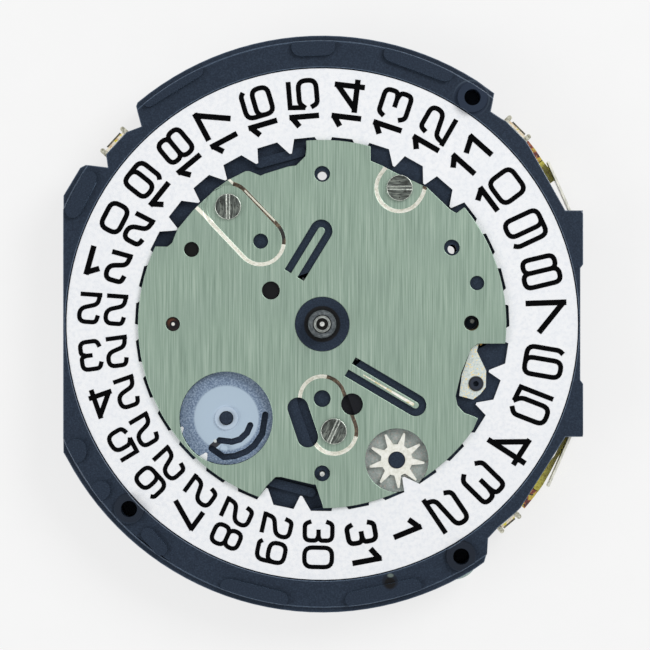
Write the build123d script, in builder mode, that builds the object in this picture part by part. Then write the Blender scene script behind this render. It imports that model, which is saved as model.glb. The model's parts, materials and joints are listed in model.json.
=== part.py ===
from build123d import *
from math import atan2, cos, degrees, dist, radians, sin
import os

# Quartz watch movement with calendar ring and small hand, in millimetres
# +Z is the dial side, z = 0 is the plane the dial sits on, the origin is on the centre arbors

# Driving size of the plan: every place in the plan is a share of the date ring's bore radius
ring_bore_radius = 10.0
rim_radius_share = 1.55
cell_place_shares = (0.031, 1.008)
cell_radius = 4.75
cell_clearance = 0.08

# Thicknesses and levels, from the dial seat down to the back
pad_height = 0.25
calendar_drop = 0.10
calendar_thickness = 0.20
level_gap = 0.04
ring_thickness = 0.22
date_disc_thickness = 0.18
wheel_thickness = 0.16
motion_floor_gap = 0.04
web_thickness = 0.36
body_depth = 4.00
back_thickness = 0.20
bridge_thickness = 0.50
cell_depth = 2.75
board_thickness = 0.10
board_gap = 0.04
overrun = 1.0

# Levels worked out from them
rim_top = -pad_height
calendar_top = -calendar_drop
calendar_bottom = calendar_top - calendar_thickness
ring_top = calendar_bottom - level_gap
ring_bottom = ring_top - ring_thickness
ring_floor = ring_bottom - level_gap
date_top = ring_floor - level_gap / 2
date_bottom = date_top - date_disc_thickness
date_floor = date_bottom - level_gap
hour_top = date_bottom - level_gap
hour_bottom = hour_top - wheel_thickness
minute_top = hour_bottom - 2 * level_gap
minute_bottom = minute_top - date_disc_thickness
motion_floor = minute_bottom - motion_floor_gap
web_bottom = motion_floor - web_thickness
back_low = -body_depth
back_high = back_low + back_thickness
bridge_high = back_high + bridge_thickness
cell_floor = back_low + cell_depth
board_low = back_high + board_gap
board_high = board_low + board_thickness

# Arbors and pipes
seconds_radius = 0.125
centre_pipe_radius = 0.29
cannon_radius = 0.45
hour_pipe_radius = 0.75
arbor_radius = 0.10
running_gap = 0.04
seconds_rise = 1.60
cannon_rise = 1.25
hour_rise = 0.85
small_hand_rise = 0.60
pipe_chamfer = 0.08

# Seats of the hands: the straight top of each pipe or arbor, over a slight taper
hour_seat_low = 0
cannon_seat_low = 0.90
seconds_seat_low = 1.28
small_seat_low = 0.25
seat_step = 0.01
seat_taper = 0.60

# Fits and fasteners
screw_head_radius = 0.70
screw_head_height = 0.20
screw_shank_radius = 0.35
screw_slot_width = 0.16
screw_slot_depth = 0.08
screw_gap = 0.02
dial_screw_length = 0.80
back_screw_length = 2.00
post_radius = 0.80
foot_hole_radius = 0.44
foot_hole_depths = [1.90, 2.05, 2.20]
stem_radius = 0.50
stem_level = -2.30

# Tooth shape as shares of the module and of the tooth pitch
addendum_share = 0.90
dedendum_share = 1.20
tip_width_share = 0.22
root_width_share = 0.62

os.makedirs("parts", exist_ok=True)


# Helpers

def spot(shares):
    return (shares[0] * ring_bore_radius, shares[1] * ring_bore_radius)


def spots(table):
    return [spot(pair) for pair in table]


def level(height, place=(0, 0)):
    return Plane(origin=(place[0], place[1], height))


def polar(radius, angle):
    return (radius * cos(radians(angle)), radius * sin(radians(angle)))


def bearing(start, end):
    return degrees(atan2(end[1] - start[1], end[0] - start[0]))


def along(start, end, share):
    return tuple(start[i] + (end[i] - start[i]) * share for i in range(2))


def polygon(points, height):
    with BuildSketch(level(height)) as face:
        with BuildLine():
            Polyline(*points, close=True)
        make_face()
    return face.sketch


def disc(place, radius, height):
    with BuildSketch(level(height, place)) as face:
        Circle(radius)
    return face.sketch


def collar(place, outer, inner, height):
    with BuildSketch(level(height, place)) as face:
        Circle(outer)
        Circle(inner, mode=Mode.SUBTRACT)
    return face.sketch


def pill(start, end, radius, height):
    with BuildSketch(level(height, along(start, end, 1 / 2))) as face:
        SlotCenterToCenter(dist(start, end), 2 * radius, rotation=bearing(start, end))
    return face.sketch


def gear(place, teeth, pitch_radius, phase, height):
    # one tooth is a trapezium on the root circle, the flanks are straight
    module = 2 * pitch_radius / teeth
    tip = pitch_radius + addendum_share * module
    root = pitch_radius - dedendum_share * module
    step = 360 / teeth
    points = []
    for tooth in range(teeth):
        middle = phase + tooth * step
        points.append(polar(root, middle - step * root_width_share / 2))
        points.append(polar(tip, middle - step * tip_width_share / 2))
        points.append(polar(tip, middle + step * tip_width_share / 2))
        points.append(polar(root, middle + step * root_width_share / 2))
    with BuildSketch(level(height, place)) as face:
        with BuildLine():
            Polyline(*points, close=True)
        make_face()
    return face.sketch


def mesh_phase(driver, driven, driver_phase, driver_teeth, driven_teeth):
    # a gap of the driven gear lies on the driver's tooth at the line of centres
    line = bearing(driver, driven)
    return line + 180 - (driver_phase - line) * driver_teeth / driven_teeth + 180 / driven_teeth


def hand_shaft(place, radius, low, seat_low, high):
    taper_low = seat_low - seat_taper
    foot = disc(place, radius + seat_step, low)
    extrude(foot, amount=taper_low - low)
    neck = disc(place, radius + seat_step, taper_low)
    extrude(neck, amount=seat_taper, taper=degrees(atan2(seat_step, seat_taper)))
    extrude(disc(place, radius, seat_low), amount=high - seat_low)


def finish(piece, name):
    piece.part.label = name
    export_step(piece.part, "parts/" + name + ".step")


# Places of the arbors
centre = (0, 0)
minute_place = spot((0.300, 0.130))
date_wheel_place = spot((-0.515, -0.505))
star_place = spot((0.400, -0.730))
rotor_a_place = spot((-0.483, -0.042))
fifth_place = spot((-0.270, 0.183))
third_place = spot((0.158, 0.128))
rotor_b_place = spot((-0.298, -0.903))
counter_place = spot((-0.205, -0.755))
small_place = spot((0.0, -0.800))
setting_place = spot((0.800, 0.005))
cell_place = spot(cell_place_shares)
rim_radius = ring_bore_radius * rim_radius_share

# Places of the screws
dial_screw_places = spots([(0.415, 0.730), (-0.505, 0.630), (0.062, -0.575)])
back_screw_places = spots([(-0.803, -0.382), (0.197, -1.258), (0.443, 0.250)])
dial_screw_angles = [0, 90, 65]
back_screw_angles = [40, 42, 60]
foot_places = spots([(0.805, 1.215), (-1.035, -0.990), (0.745, -1.245)])

# Teeth of every gear
cannon_teeth = 12
minute_teeth = 36
minute_pinion_teeth = 12
hour_teeth = 48
hour_date_teeth = 20
date_idler_teeth = 28
date_wheel_teeth = 40
setting_idler_teeth = 11
setting_wheel_teeth = 18
rotor_teeth = 8
fifth_teeth = 48
fifth_pinion_teeth = 10
second_teeth = 50
second_pinion_teeth = 8
third_teeth = 60
third_pinion_teeth = 8
centre_teeth = 64
counter_teeth = 48
counter_pinion_teeth = 10
small_teeth = 50
ring_teeth = 31
star_teeth = 9

# Pitch radii, from the centre distances
minute_distance = dist(centre, minute_place)
cannon_pitch = minute_distance * cannon_teeth / (cannon_teeth + minute_teeth)
minute_pitch = minute_distance - cannon_pitch
hour_pitch = minute_distance * hour_teeth / (hour_teeth + minute_pinion_teeth)
minute_pinion_pitch = minute_distance - hour_pitch
date_distance = dist(centre, date_wheel_place)
date_sum = hour_date_teeth + 2 * date_idler_teeth + date_wheel_teeth
hour_date_pitch = date_distance * hour_date_teeth / date_sum
date_idler_pitch = date_distance * date_idler_teeth / date_sum
date_wheel_pitch = date_distance * date_wheel_teeth / date_sum
date_idler_place = along(centre, date_wheel_place, (hour_date_pitch + date_idler_pitch) / date_distance)
setting_distance = dist(minute_place, setting_place)
setting_idler_pitch = minute_pitch * setting_idler_teeth / minute_teeth
setting_pitch = setting_distance - minute_pitch - 2 * setting_idler_pitch
setting_idler_share = (minute_pitch + setting_idler_pitch) / setting_distance
setting_idler_place = along(minute_place, setting_place, setting_idler_share)
rotor_distance = dist(rotor_a_place, fifth_place)
rotor_a_pitch = rotor_distance * rotor_teeth / (rotor_teeth + fifth_teeth)
fifth_pitch = rotor_distance - rotor_a_pitch
fifth_distance = dist(fifth_place, centre)
fifth_pinion_pitch = fifth_distance * fifth_pinion_teeth / (fifth_pinion_teeth + second_teeth)
second_pitch = fifth_distance - fifth_pinion_pitch
third_distance = dist(centre, third_place)
second_pinion_pitch = third_distance * second_pinion_teeth / (second_pinion_teeth + third_teeth)
third_pitch = third_distance - second_pinion_pitch
third_pinion_pitch = third_distance * third_pinion_teeth / (third_pinion_teeth + centre_teeth)
centre_pitch = third_distance - third_pinion_pitch
counter_distance = dist(rotor_b_place, counter_place)
rotor_b_pitch = counter_distance * rotor_teeth / (rotor_teeth + counter_teeth)
counter_pitch = counter_distance - rotor_b_pitch
small_distance = dist(counter_place, small_place)
counter_pinion_pitch = small_distance * counter_pinion_teeth / (counter_pinion_teeth + small_teeth)
small_pitch = small_distance - counter_pinion_pitch

# More helpers: tables of pills and rounds, holes and turning pieces

def pills(table):
    return [(spot(start), spot(end), share * ring_bore_radius) for start, end, share in table]


def rounds(table):
    return [(spot(place), share * ring_bore_radius) for place, share in table]


def upright(start, end, height):
    # a plane across a run in the plan, for sections that follow the run
    run = dist(start, end)
    way = ((end[0] - start[0]) / run, (end[1] - start[1]) / run)
    return Plane(origin=(start[0], start[1], height), x_dir=(-way[1], way[0], 0), z_dir=(way[0], way[1], 0))


# Levels of the going train, between the web and the bridge
centre_wheel_high = -1.88
train_wheel_thickness = 0.14
pinion_overlap = 0.05
third_wheel_high = -2.47
stator_high = -2.25
stator_thickness = 0.35
stator_low = stator_high - stator_thickness
core_thickness = 0.30
core_low = stator_low - core_thickness
fifth_wheel_high = -2.75
centre_bridge_high = -2.75
centre_bridge_thickness = 0.18
second_wheel_high = -3.06
small_wheel_high = -2.14
counter_wheel_high = -2.66
pivot_depth = 0.12
pivot_top = web_bottom + pivot_depth
pivot_low = bridge_high - pivot_depth
rotor_radius = 0.52
rotor_hole_radius = 0.64

# Main plate: one plastic moulding that carries every other piece
ring_clearance = 0.06
ring_outer_radius = 13.72
channel_inner_radius = 9.00
left_rim_shares = [
    (-1.0, 1.17), (-0.97, 1.06), (-1.05, 1.03), (-1.16, 0.91), (-1.15, 0.84),
    (-1.27, 0.855), (-1.30, 0.84), (-1.39, 0.69), (-1.39, -0.69),
]
right_rim_shares = [
    (0.87, -1.28), (0.885, -1.23), (0.89, -1.15), (0.945, -1.09), (1.04, -1.01),
    (1.065, -0.985), (1.305, -0.605), (1.40, -0.605), (1.40, -0.32), (1.385, -0.30),
    (1.385, 0.30), (1.40, 0.32), (1.40, 0.61), (1.305, 0.61), (1.11, 0.955),
    (1.09, 0.985), (0.985, 1.09), (0.965, 1.10), (0.905, 1.14), (0.925, 1.24),
]
upper_arc_angles = (57.6, 92, 129.8)
lower_arc_angles = (207.6, 255, 301.8)
train_cavity_shares = [
    (-1.30, -0.64), (-1.22, -0.76), (-1.10, -0.82), (-0.93, -0.99), (-0.92, -1.14),
    (-0.78, -1.29), (-0.55, -1.375), (-0.30, -1.44), (0.0, -1.475), (0.20, -1.46),
    (0.40, -1.405), (0.57, -1.33), (0.63, -1.22), (0.72, -1.15), (0.82, -1.15),
    (0.86, -1.08), (1.02, -0.94), (1.25, -0.58), (1.25, 0.58), (1.05, 0.90),
    (0.84, 1.05), (0.72, 1.06), (0.72, 0.90), (0.62, 0.76), (0.50, 0.60), (0.35, 0.50),
    (0.03, 0.45), (-0.30, 0.50), (-0.50, 0.68), (-0.59, 0.92), (-0.61, 1.22),
    (-0.84, 1.10), (-0.93, 1.00), (-1.09, 0.82), (-1.24, 0.77), (-1.30, 0.64),
]
left_pocket_shares = [
    (-0.20, 0.72), (-0.35, 0.70), (-0.46, 0.725), (-0.51, 0.86), (-0.50, 0.895),
    (-0.46, 0.905), (-0.46, 1.03), (-0.515, 1.05), (-0.54, 1.34), (-0.40, 1.385), (-0.20, 1.30),
]
right_pocket_shares = [
    (0.30, 0.75), (0.46, 0.81), (0.55, 0.94), (0.63, 0.95), (0.655, 0.98), (0.65, 1.05),
    (0.61, 1.19), (0.575, 1.22), (0.46, 1.22), (0.40, 1.31), (0.30, 1.38), (0.20, 1.20),
]
rim_pad_shares = [
    ((-0.115, 1.485), (0.020, 1.490), 0.050), ((0.375, 1.450), (0.660, 1.345), 0.045),
    ((-0.930, 1.195), (-0.670, 1.355), 0.032), ((-1.335, 0.610), (-1.250, 0.780), 0.042),
    ((-1.320, -0.690), (-1.318, -0.670), 0.055), ((-1.195, -0.900), (-1.185, -0.890), 0.050),
    ((-0.935, -1.125), (-0.865, -1.205), 0.035), ((-0.505, -1.405), (-0.225, -1.475), 0.042),
    ((0.165, -1.475), (0.490, -1.405), 0.042),
]
foot_boss_radius = 0.80
rim_step_width = 0.30
rim_step_depth = 0.20
hour_pocket_radius = 2.86
minute_pocket_radius = 2.68
setting_pocket_radius = 1.42
setting_idler_pocket_radius = 0.95
date_idler_pocket_radius = 1.96
date_pocket_radius = 2.76
star_pocket_radius = 1.80
wheel_post_radius = 0.25
date_post_radius = 0.34
star_post_radius = 0.42
jumper_pocket_shares = [
    (0.64, -0.36), (0.72, -0.06), (0.93, -0.06), (0.93, -0.50), (0.84, -0.62), (0.70, -0.46),
]
right_floor_shares = [
    (0.24, 0.95), (0.27, 0.87), (0.33, 0.86), (0.56, 0.75), (0.60, 0.80), (0.42, 0.95),
]
upper_floor_shares = [
    (-0.93, 0.40), (-0.80, 0.40), (-0.76, 0.50), (-0.69, 0.61), (-0.57, 0.73), (-0.41, 0.81),
    (-0.30, 0.79), (-0.13, 0.84), (-0.07, 0.90), (-0.07, 1.02), (-0.60, 0.90), (-0.85, 0.60),
]
lower_floor_shares = [(-0.36, -0.92), (-0.26, -0.80), (-0.03, -0.84), (0.03, -0.98), (-0.20, -1.02)]
floor_bar_shares = [
    ((-0.335, 0.865), (-0.115, 0.925), 0.026), ((-0.270, -0.850), (-0.060, -0.905), 0.024),
]
through_places = spots([(0.0, 0.797), (0.698, 0.402)])
through_radius = 0.25
bridge_post_places = spots([(-1.12, -0.72), (-1.15, 0.65), (-0.69, 0.95), (0.26, -0.96)])
pillar_radius = 0.45
centre_post_places = spots([(0.290, 0.345), (0.300, -0.110)])
centre_post_radius = 0.32
board_post_places = spots([(1.15, -0.60), (0.72, -1.12), (1.20, 0.45), (0.78, 0.99), (0.97, -0.30)])
board_post_radius = 0.40
stem_block_width = 2.60
stem_block_length = 2.50
stem_block_low = -2.98
stem_block_start = 10.40
tab_slot_width = 0.60
tab_wall = 0.16
tab_slot_shares = [(0.30, 0.66), (-0.66, -0.30)]
yoke_place = spot((0.912, 0.300))
lever_place = spot((0.665, -0.360))
pivot_post_radius = 0.22
pivot_shoulder_radius = 0.45
yoke_high = -2.20
yoke_thickness = 0.20
lever_high = -3.05
lever_thickness = 0.20
post_place = spot((0.415, 0.725))
battery_post_radius = 0.78
back_dish_depth = 0.30
back_dish_shares = [
    ((-0.970, -0.670), (-0.810, -0.370), 0.190, 0.130),
    ((0.190, -1.258), (0.200, -1.258), 0.195, 0.135),
    ((0.340, 0.320), (0.445, 0.250), 0.170, 0.125),
    ((0.715, -1.270), (0.725, -1.270), 0.135, 0.075),
]
dial_dish_depth = 0.20
dial_dish_shares = [
    ((0.415, 0.730), (0.425, 0.745), 0.135, 0.115),
    ((-0.505, 0.630), (-0.330, 0.445), 0.135, 0.115),
    ((0.0, -0.400), (0.064, -0.575), 0.130, 0.110),
]
core_a_ends = spots([(-0.905, -0.240), (-0.655, 0.630)])
core_b_ends = spots([(-0.805, -1.150), (0.075, -1.405)])
board_shares = [
    (0.38, -1.33), (0.55, -1.25), (0.60, -1.15), (0.70, -1.125), (0.89, -1.12),
    (1.075, -0.995), (1.31, -0.615), (1.31, 0.62), (1.105, 0.975), (0.90, 1.10),
    (0.73, 1.08), (0.74, 0.89), (0.66, 0.77), (0.52, 0.62), (0.50, 0.53), (0.61, 0.40),
    (0.66, 0.20), (0.875, 0.20), (0.875, -0.075), (0.78, -0.075), (0.78, -0.135),
    (0.875, -0.135), (0.875, -0.225), (0.78, -0.225), (0.78, -0.285), (0.875, -0.285),
    (0.875, -0.42), (0.44, -0.42), (0.345, -0.70), (0.38, -1.10),
]
board_recess_depth = 0.20
board_clearance = 0.06


def main_plate_plan(height):
    upper = [polar(rim_radius, angle) for angle in upper_arc_angles]
    lower = [polar(rim_radius, angle) for angle in lower_arc_angles]
    with BuildSketch(level(height)) as face:
        with BuildLine():
            ThreePointArc(*upper)
            Polyline(upper[-1], *spots(left_rim_shares), lower[0])
            ThreePointArc(*lower)
            Polyline(lower[-1], *spots(right_rim_shares), upper[0])
        make_face()
    return face.sketch


def widened(points, gap, height):
    with BuildSketch(level(height)) as face:
        with BuildLine():
            Polyline(*points, close=True)
        make_face()
        offset(amount=gap, kind=Kind.INTERSECTION)
    return face.sketch


def make_main_plate():
    channel = ring_outer_radius + ring_clearance
    well = cell_radius + cell_clearance
    screw_hole = screw_shank_radius + screw_gap
    with BuildPart() as main_plate:
        extrude(main_plate_plan(back_high), amount=rim_top - back_high)
        # pads and bosses that the dial sits on
        for start, end, radius in pills(rim_pad_shares):
            extrude(pill(start, end, radius, rim_top), amount=pad_height)
        for place in foot_places:
            extrude(disc(place, foot_boss_radius, rim_top), amount=pad_height)
        # the step round the rim
        step = collar(centre, rim_radius + overrun, rim_radius - rim_step_width, 0)
        extrude(step, amount=-pad_height - rim_step_depth, mode=Mode.SUBTRACT)
        # the channel of the date ring, and the seat of the calendar plate inside it
        extrude(disc(centre, channel, calendar_bottom), amount=overrun, mode=Mode.SUBTRACT)
        extrude(collar(centre, channel, channel_inner_radius, ring_floor), amount=overrun,
                mode=Mode.SUBTRACT)
        # pockets of the motion work and the calendar work
        pockets = [
            (centre, hour_pocket_radius, motion_floor),
            (minute_place, minute_pocket_radius, motion_floor),
            (setting_place, setting_pocket_radius, motion_floor),
            (setting_idler_place, setting_idler_pocket_radius, motion_floor),
            (date_idler_place, date_idler_pocket_radius, date_floor),
            (date_wheel_place, date_pocket_radius, date_floor),
            (star_place, star_pocket_radius, date_floor),
        ]
        for place, radius, floor in pockets:
            extrude(disc(place, radius, floor), amount=overrun, mode=Mode.SUBTRACT)
        for shares in (jumper_pocket_shares, right_floor_shares):
            extrude(polygon(spots(shares), ring_floor), amount=overrun, mode=Mode.SUBTRACT)
        for shares in (upper_floor_shares, lower_floor_shares):
            extrude(polygon(spots(shares), date_floor), amount=overrun, mode=Mode.SUBTRACT)
        for start, end, radius in pills(floor_bar_shares):
            extrude(pill(start, end, radius, date_floor), amount=ring_floor - date_floor)
        dish_floor = calendar_bottom - dial_dish_depth - level_gap
        for start, end, wide, narrow in dial_dish_shares:
            radius = wide * ring_bore_radius + level_gap
            extrude(pill(spot(start), spot(end), radius, dish_floor), amount=overrun, mode=Mode.SUBTRACT)
        # posts that the wheels of the dial side turn on
        posts = [
            (minute_place, wheel_post_radius, motion_floor, hour_top),
            (setting_place, wheel_post_radius, motion_floor, hour_bottom),
            (setting_idler_place, wheel_post_radius, motion_floor, hour_bottom),
            (date_idler_place, wheel_post_radius, date_floor, ring_bottom),
            (date_wheel_place, date_post_radius, date_floor, ring_top),
            (star_place, star_post_radius, date_floor, ring_top),
        ]
        for place, radius, floor, top in posts:
            extrude(disc(place, radius, floor), amount=top - floor)
        # the train cavity and the cell's well, open to the back
        extrude(polygon(spots(train_cavity_shares), web_bottom), amount=back_low - web_bottom,
                mode=Mode.SUBTRACT)
        extrude(disc(cell_place, well, cell_floor), amount=back_low - cell_floor, mode=Mode.SUBTRACT)
        extrude(disc(post_place, battery_post_radius + screw_gap, cell_floor), amount=back_low - cell_floor,
                mode=Mode.SUBTRACT)
        for shares in (left_pocket_shares, right_pocket_shares):
            extrude(polygon(spots(shares), cell_floor), amount=back_low - cell_floor, mode=Mode.SUBTRACT)
        # posts and pillars that rise from the web towards the back
        pillars = [(place, post_radius, stator_high) for place in back_screw_places[:2]]
        pillars += [(back_screw_places[2], post_radius, bridge_high)]
        pillars += [(place, pillar_radius, bridge_high) for place in bridge_post_places]
        for end in (core_a_ends[1], core_b_ends[0]):
            pillars.append((end, pillar_radius, stator_high))
        pillars += [(place, centre_post_radius, centre_bridge_high) for place in centre_post_places]
        pillars += [(place, board_post_radius, board_high) for place in board_post_places]
        pillars += [(yoke_place, pivot_shoulder_radius, yoke_high)]
        pillars += [(yoke_place, pivot_post_radius, yoke_high - yoke_thickness)]
        pillars += [(lever_place, pivot_shoulder_radius, lever_high)]
        pillars += [(lever_place, pivot_post_radius, lever_high - lever_thickness)]
        for place, radius, low in pillars:
            extrude(disc(place, radius, web_bottom), amount=low - web_bottom)
        # the shallow seat of the circuit board's edge, and room for the pressed dishes of the back
        recess = widened(spots(board_shares), board_clearance, back_high + board_recess_depth)
        extrude(recess, amount=-board_recess_depth, mode=Mode.SUBTRACT)
        for place in board_post_places:
            extrude(disc(place, board_post_radius, web_bottom), amount=board_high - web_bottom)
        for start, end, wide, narrow in back_dish_shares:
            radius = wide * ring_bore_radius + level_gap
            floor = back_high + back_dish_depth + level_gap
            hollow = pill(spot(start), spot(end), radius, floor)
            extrude(hollow, amount=back_low - floor, mode=Mode.SUBTRACT)
        # the block that the stem passes through, and its bore
        with BuildSketch(level(web_bottom, (stem_block_start + stem_block_length / 2, 0))):
            Rectangle(stem_block_length, stem_block_width)
        extrude(amount=stem_block_low - web_bottom)
        with BuildSketch(upright((stem_block_start - overrun, 0), (stem_block_start, 0), stem_level)):
            Circle(stem_radius)
        extrude(amount=rim_radius, mode=Mode.SUBTRACT)
        # slots of the pusher springs in the two tabs
        slot_middle = right_rim_shares[7][0] * ring_bore_radius - tab_wall - tab_slot_width / 2
        for low, high in tab_slot_shares:
            length = (high - low) * ring_bore_radius
            middle = (high + low) / 2 * ring_bore_radius
            with BuildSketch(level(back_high, (slot_middle, middle))):
                Rectangle(tab_slot_width, length)
            extrude(amount=motion_floor + level_gap - back_high, mode=Mode.SUBTRACT)
        # holes of the arbors, screws and dial feet
        extrude(disc(centre, centre_pipe_radius + running_gap, web_bottom), amount=-web_bottom,
                mode=Mode.SUBTRACT)
        extrude(disc(small_place, seconds_radius + running_gap, web_bottom), amount=-web_bottom,
                mode=Mode.SUBTRACT)
        for place in (rotor_a_place, fifth_place, third_place, rotor_b_place, counter_place):
            extrude(disc(place, arbor_radius + running_gap, web_bottom), amount=pivot_depth + level_gap,
                    mode=Mode.SUBTRACT)
        for place in dial_screw_places:
            extrude(disc(place, screw_hole, calendar_bottom), amount=-dial_screw_length, mode=Mode.SUBTRACT)
        for place in back_screw_places:
            hole_depth = back_screw_length + back_dish_depth + level_gap
            extrude(disc(place, screw_hole, back_low), amount=hole_depth,
                    mode=Mode.SUBTRACT)
        for place, depth in zip(foot_places, foot_hole_depths):
            extrude(disc(place, foot_hole_radius, 0), amount=-depth, mode=Mode.SUBTRACT)
        for place in through_places:
            extrude(disc(place, through_radius, back_low), amount=body_depth, mode=Mode.SUBTRACT)
    finish(main_plate, "main_plate")


# Calendar plate: a sheet over the ring's teeth, with pressed dishes, windows and cut springs
calendar_radius = 9.87
upper_window_shares = [
    (-1.02, 0.42), (-0.83, 0.415), (-0.805, 0.435), (-0.775, 0.51), (-0.69, 0.612),
    (-0.57, 0.727), (-0.505, 0.772), (-0.41, 0.82), (-0.39, 0.82), (-0.33, 0.795), (-0.31, 0.805),
    (-0.18, 0.845), (-0.14, 0.85), (-0.09, 0.90), (-0.085, 0.94), (-0.09, 1.05), (-0.80, 1.02),
]
right_window_shares = [
    (0.25, 1.02), (0.26, 0.94), (0.26, 0.875), (0.32, 0.85), (0.45, 0.785), (0.56, 0.735),
    (0.69, 0.61), (0.72, 0.595), (0.76, 0.625), (0.80, 0.63), (0.83, 0.57), (0.95, 0.60), (0.60, 1.00),
]
jumper_window_shares = [
    (0.835, -0.105), (1.02, -0.105), (1.00, -0.45), (0.86, -0.61), (0.805, -0.575),
    (0.835, -0.505), (0.815, -0.495), (0.76, -0.475), (0.725, -0.435), (0.715, -0.385),
    (0.745, -0.26), (0.80, -0.13),
]
lower_window_shares = [
    (-0.37, -0.96), (-0.34, -0.93), (-0.30, -0.87), (-0.25, -0.82), (-0.22, -0.82),
    (-0.05, -0.86), (-0.035, -0.86), (0.0, -0.965), (0.015, -1.03), (-0.35, -1.03),
]
date_window_radius = 2.50
star_window_radius = 1.70
bush_hole_radius = 1.45
plate_hole_shares = [
    ((0.0, 0.805), 0.042), ((0.695, 0.410), 0.042), ((0.830, 0.220), 0.038),
    ((0.800, 0.005), 0.040), ((0.0, -0.800), 0.042), ((-0.800, 0.0), 0.038),
    ((-0.700, 0.400), 0.040), ((-0.275, 0.180), 0.048), ((-0.330, 0.445), 0.040),
    ((0.0, -0.400), 0.045), ((0.160, -0.430), 0.058),
]
plate_pill_shares = [((-0.130, -0.450), (-0.078, -0.605), 0.056)]
plate_leaf_shares = [((-0.150, 0.262), (-0.005, 0.500), 0.060), ((0.150, -0.228), (0.500, -0.435), 0.058)]
leaf_slot_width = 0.40


def leaf_slot(root, tip, half, width, height):
    # a U-shaped slot whose legs leave a leaf spring rooted in the plate
    run = dist(root, tip)
    way = (tip[0] - root[0], tip[1] - root[1], 0)
    with BuildSketch(Plane(origin=(root[0], root[1], height), x_dir=way, z_dir=(0, 0, 1))) as slot:
        with Locations((run / 2, 0)):
            Rectangle(run, 2 * half)
        with Locations((run, 0)):
            Circle(half)
            Circle(half - width, mode=Mode.SUBTRACT)
        with Locations((run / 2, 0)):
            Rectangle(run, 2 * (half - width), mode=Mode.SUBTRACT)
    return slot.sketch


def make_calendar_plate():
    cut_low = calendar_bottom - dial_dish_depth - overrun
    cut_height = calendar_top - cut_low + overrun
    screw_hole = screw_shank_radius + screw_gap
    with BuildPart() as calendar_plate:
        extrude(disc(centre, calendar_radius, calendar_bottom), amount=calendar_thickness)
        # each dish is the sheet pressed down with a sloping wall
        for start, end, wide, narrow in dial_dish_shares:
            ends = (spot(start), spot(end))
            outer = pill(*ends, wide * ring_bore_radius, calendar_bottom)
            inner = pill(*ends, narrow * ring_bore_radius, calendar_bottom - dial_dish_depth)
            loft([outer, inner], ruled=True)
        for start, end, wide, narrow in dial_dish_shares:
            ends = (spot(start), spot(end))
            outer = pill(*ends, wide * ring_bore_radius, calendar_top)
            inner = pill(*ends, narrow * ring_bore_radius, calendar_top - dial_dish_depth)
            loft([outer, inner], ruled=True, mode=Mode.SUBTRACT)
        # windows over the ring, and round ones over the date wheel and the corrector
        windows = (upper_window_shares, right_window_shares, jumper_window_shares, lower_window_shares)
        for shares in windows:
            extrude(polygon(spots(shares), cut_low), amount=cut_height, mode=Mode.SUBTRACT)
        openings = rounds(plate_hole_shares) + [(place, screw_hole) for place in dial_screw_places]
        openings += [(date_wheel_place, date_window_radius), (star_place, star_window_radius)]
        openings += [(centre, bush_hole_radius)]
        for place, radius in openings:
            extrude(disc(place, radius, cut_low), amount=cut_height, mode=Mode.SUBTRACT)
        for start, end, radius in pills(plate_pill_shares):
            extrude(pill(start, end, radius, cut_low), amount=cut_height, mode=Mode.SUBTRACT)
        for root, tip, half in pills(plate_leaf_shares):
            slot = leaf_slot(root, tip, half, leaf_slot_width, cut_low)
            extrude(slot, amount=cut_height, mode=Mode.SUBTRACT)
    finish(calendar_plate, "calendar_plate")


# Centre bush: dark plastic, pressed in the calendar plate round the hour pipe
bush_bore_radius = 0.80
bush_rise = 0.04


def make_centre_bush():
    low = date_top + level_gap
    with BuildPart() as centre_bush:
        bush = collar(centre, bush_hole_radius, bush_bore_radius, low)
        extrude(bush, amount=calendar_top + bush_rise - low)
    finish(centre_bush, "centre_bush")


# Date ring: a flat ring with a tooth for each day, read through a window of the dial
ring_inner_radius = 10.05
ring_tip_radius = 9.30
ring_tooth_start = 65.6
tooth_tip_angle = 0.35
tooth_steep_angle = 1.8
tooth_slack_angle = 3.5


def make_date_ring():
    step = 360 / ring_teeth
    points = []
    for tooth in range(ring_teeth):
        middle = ring_tooth_start + tooth * step
        points.append(polar(ring_inner_radius, middle - tooth_steep_angle))
        points.append(polar(ring_tip_radius, middle - tooth_tip_angle))
        points.append(polar(ring_tip_radius, middle + tooth_tip_angle))
        points.append(polar(ring_inner_radius, middle + tooth_slack_angle))
    with BuildPart() as date_ring:
        extrude(disc(centre, ring_outer_radius, ring_bottom), amount=ring_thickness)
        extrude(polygon(points, ring_bottom), amount=ring_thickness, mode=Mode.SUBTRACT)
    finish(date_ring, "date_ring")


# Motion work: hour wheel, cannon pinion and minute wheel
hour_bore_radius = 0.50
cannon_bore_radius = 0.32
centre_bore_radius = 0.17
post_bore_radius = wheel_post_radius + running_gap


def make_hour_wheel():
    with BuildPart() as hour_wheel:
        extrude(gear(centre, hour_teeth, hour_pitch, 0, hour_bottom), amount=wheel_thickness)
        extrude(gear(centre, hour_date_teeth, hour_date_pitch, 0, hour_top), amount=date_top - hour_top)
        hand_shaft(centre, hour_pipe_radius, hour_bottom, hour_seat_low, hour_rise)
        rim = hour_wheel.edges().filter_by(GeomType.CIRCLE).sort_by(Axis.Z)[-1]
        chamfer(rim, length=pipe_chamfer)
        extrude(disc(centre, hour_bore_radius, hour_bottom), amount=hour_rise - hour_bottom,
                mode=Mode.SUBTRACT)
    finish(hour_wheel, "hour_wheel")


cannon_phase = 0


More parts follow.
